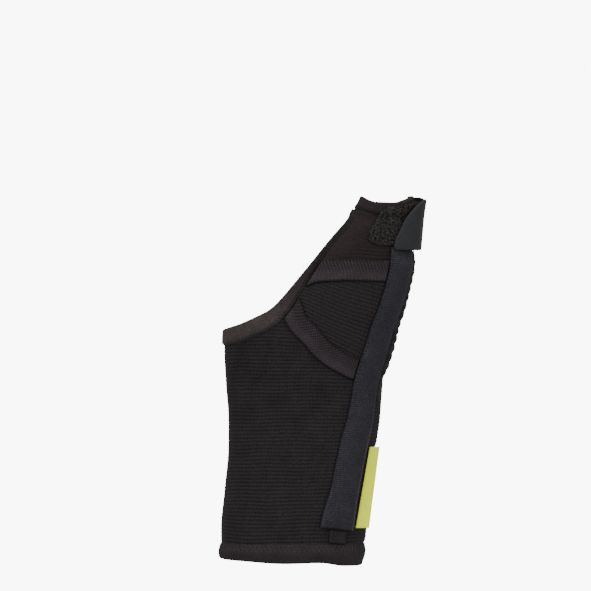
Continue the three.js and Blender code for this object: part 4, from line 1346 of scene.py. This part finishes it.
def stitches(name, paths, pitch, length, thread_width, slant=0.0, material=thread):
    """Sews along each path: turns, heights, distances out, and for some a tilt of the stitches."""
    points, ups, edges, start = [], [], [], 0
    for turn, z, out, *tilt in paths:
        points.append(lifted(turn, z, np.broadcast_to(out, np.shape(turn))))
        _, up, normal = slopes(turn, z)
        ups.append(unit(normal + up * (tilt[0] if tilt else 0)))
        edges += [(start + i, start + i + 1) for i in range(len(turn) - 1)]
        start += len(turn)
    mesh = bpy.data.meshes.new(name)
    mesh.from_pydata(np.concatenate(points) * MM, edges, [])
    set_points(mesh, "up", "FLOAT_VECTOR", np.concatenate(ups))
    piece = new_object(name, mesh)
    sizes = {"Pitch": pitch * MM, "Length": length * MM, "Thread": thread_width * MM}
    grown(piece, stitch_tree, **sizes, Slant=slant, Finish=material)
    placed(piece, None)


# %% Rows that sew the strap's end down
SEWN_DROP = 2.0
strap_paths = []
for back in (2.5, 10.5):
    turn = np.full(60, np.radians(110.0 - back))
    z = STRAP_FOOT + STRAP_WIDTH * np.linspace(0.05, 0.95, 60) - SEWN_DROP
    strap_paths.append((turn, z, standoff(turn, z + SEWN_DROP) + STRAP_THICKNESS + 0.03))
stitches("strap_stitches", strap_paths, 2.2, 1.6, 0.4, material=seam_edge)

# %% Zigzag round the hem
ZIGZAG_HEIGHT, ZIGZAG_STEP, ZIGZAG_TILT = 4.2, 1.3, 0.3
line_share = np.linspace(0, 1, 400)
hem_turn = all_round(line_share)
hem_z = np.full(400, TURNED_EDGE + HEM_WIDTH - ZIGZAG_HEIGHT / 2 - 0.3)
zigzag = [(hem_turn, hem_z, 2.25 + 1.65 * at_side(hem_turn), ZIGZAG_TILT)]
zigzag_length = math.hypot(ZIGZAG_HEIGHT, ZIGZAG_STEP)
zigzag_slant = math.atan2(ZIGZAG_HEIGHT, ZIGZAG_STEP)
stitches("hem_zigzag", zigzag, ZIGZAG_STEP, zigzag_length, 0.3, zigzag_slant, light_thread)

# %% Rows along the tapes, the pocket and the folded edges
row_share = np.linspace(0, 1, 160)
FOLD_TOP = KNIT + FOLD_CLEAR + LEAF + 0.05


def beside_path(line, distance, start, end, out):
    turn, z = beside(line, distance)(start + (end - start) * row_share)
    return turn, z, out


tape_paths = [
    beside_path(line, side * (BAND_WIDTH / 2 - 0.9), 0.08, 0.84, OUTSIDE + 1.0)
    for line in (lower_line, upper_line)
    for side in (-1, 1)
]
stitches("tape_stitches", tape_paths, 2.1, 1.5, 0.34)
pocket_paths = [
    beside_path(pocket_line, side * (POCKET_WIDTH / 2 - 0.95), 0.005, 0.97, OUTSIDE + 1.3)
    for side in (-1, 1)
]
foot_row = np.linspace(-POCKET_WIDTH / 2, POCKET_WIDTH / 2 + 2, 30)
foot_turn, foot_z = ribbon(pocket_line, np.full(30, 0.0), foot_row)
pocket_paths.append((foot_turn, foot_z - 0.2, OUTSIDE + 0.7))
stitches("pocket_stitches", pocket_paths, 2.2, 1.6, 0.36)
open_turn, open_z = opening_line(line_share)
open_side = headings(opening_line, line_share, closed=True)[1] * -1
seam_turn, seam_z = walk(open_turn, open_z, open_side, binding_width(open_z) - 0.8)
stitches("binding_stitches", [(seam_turn, seam_z, FOLD_TOP)], 1.9, 1.3, 0.34)
collar_turn, collar_z = thumb_line(line_share)
stitches("collar_stitches", [(collar_turn, collar_z - THUMB_HEM_WIDTH + 0.8, FOLD_TOP)], 1.9, 1.3, 0.34)

# %% [markdown]
# ## Overlocked seam
# Behind the pocket the knit's edges are joined with overlock stitches, which show as a dark scalloped edge.
# The seam is a narrow ribbon whose outer side bulges between stitches, with thread wrapped across it. At
# the wrist it stands up as a low fin, which is the notched edge that shows beside the pocket.

# %% Overlock
SEAM_FOOT, SEAM_WIDTH, SCALLOP, SCALLOP_PITCH = 90.7, 2.6, 0.7, 4.4
FIN_PLACES = (98, 103, 108, 126, 134, 150, 165, 170)
FIN_HEIGHTS = (0.1, 0.6, 1.9, 2.2, 1.6, 1.4, 1.1, 0.0)
scallops = round((POCKET_TOP - SEAM_FOOT) / SCALLOP_PITCH)
seam_offset = -(POCKET_WIDTH / 2 + 2 * GAP + SEAM_WIDTH / 2)
seam_line = beside(up_the_pocket(SEAM_FOOT, POCKET_TOP - 2 * GAP), seam_offset)
share, lane = np.meshgrid(np.linspace(0, 1, scallops * 8 + 1), np.linspace(-1, 1, 9))
bulge = SCALLOP * np.abs(np.sin(np.pi * share * scallops))
offset = lane * SEAM_WIDTH / 2 - np.where(lane < 0, -lane * bulge, 0)
turn, z = ribbon(seam_line, share, offset)
run = along(on_form(turn, z))
fin = np.interp(z, FIN_PLACES, FIN_HEIGHTS)
height = 1.35 * np.sqrt(1.05 - lane**2) + fin * (1 - lane**2) ** 1.5 * (0.7 + 0.3 * bulge / SCALLOP)
web = grid(turn, z, run, offset, OUTSIDE, OUTSIDE + height)
seam = cloth("overlocked_edge", web, material=seam_edge)
placed(seam, "side_seam")
wrap_turn, wrap_z = seam_line(row_share)
wrapping = [(wrap_turn, wrap_z, OUTSIDE + 1.15)]
stitches("overlock_thread", wrapping, 1.1, 3.0, 0.5, math.radians(80), seam_edge)

# %% [markdown]
# ## Light
# The photograph is a product shot on pure white, with soft light from all round. An even world and three
# large soft lamps give that light. The white itself is a big glowing shell round the scene that only the
# camera sees, so it doesn't wash out the dark cloth.

# %% White shell and lamps
bpy.ops.mesh.primitive_ico_sphere_add(subdivisions=3, radius=9.0)
white_shell = bpy.context.object
white_shell.name = "white_shell"
BLACK, WHITE = (0, 0, 0, 1), (1, 1, 1, 1)
glow = bpy.data.materials.new("White glow")
glow.use_nodes = True
wire(glow.node_tree, glow.node_tree.nodes["Principled BSDF"], {
    "Base Color": BLACK, "Emission Color": WHITE, "Emission Strength": 9.0,
})
white_shell.data.materials.append(glow)
white_shell.visible_diffuse = white_shell.visible_glossy = white_shell.visible_shadow = False

world = bpy.data.worlds.new("studio")
world.use_nodes = True
wire(world.node_tree, world.node_tree.nodes["Background"], {"Color": WHITE, "Strength": 0.8})
bpy.context.scene.world = world

LIT_PLACE = Vector((0.015, 0, 0.1))
for name, place, size, power in (
    ("key", (-0.9, -1.5, 1.3), 0.9, 30.0),
    ("fill", (1.2, -1.2, 0.6), 1.0, 14.0),
    ("top", (0.0, -0.2, 1.8), 1.2, 16.0),
):
    lamp = new_object(name, bpy.data.lights.new(name, "AREA"))
    lamp.data.size, lamp.data.energy = size, power
    lamp.location = place
    lamp.rotation_euler = (LIT_PLACE - lamp.location).to_track_quat("-Z", "Y").to_euler()
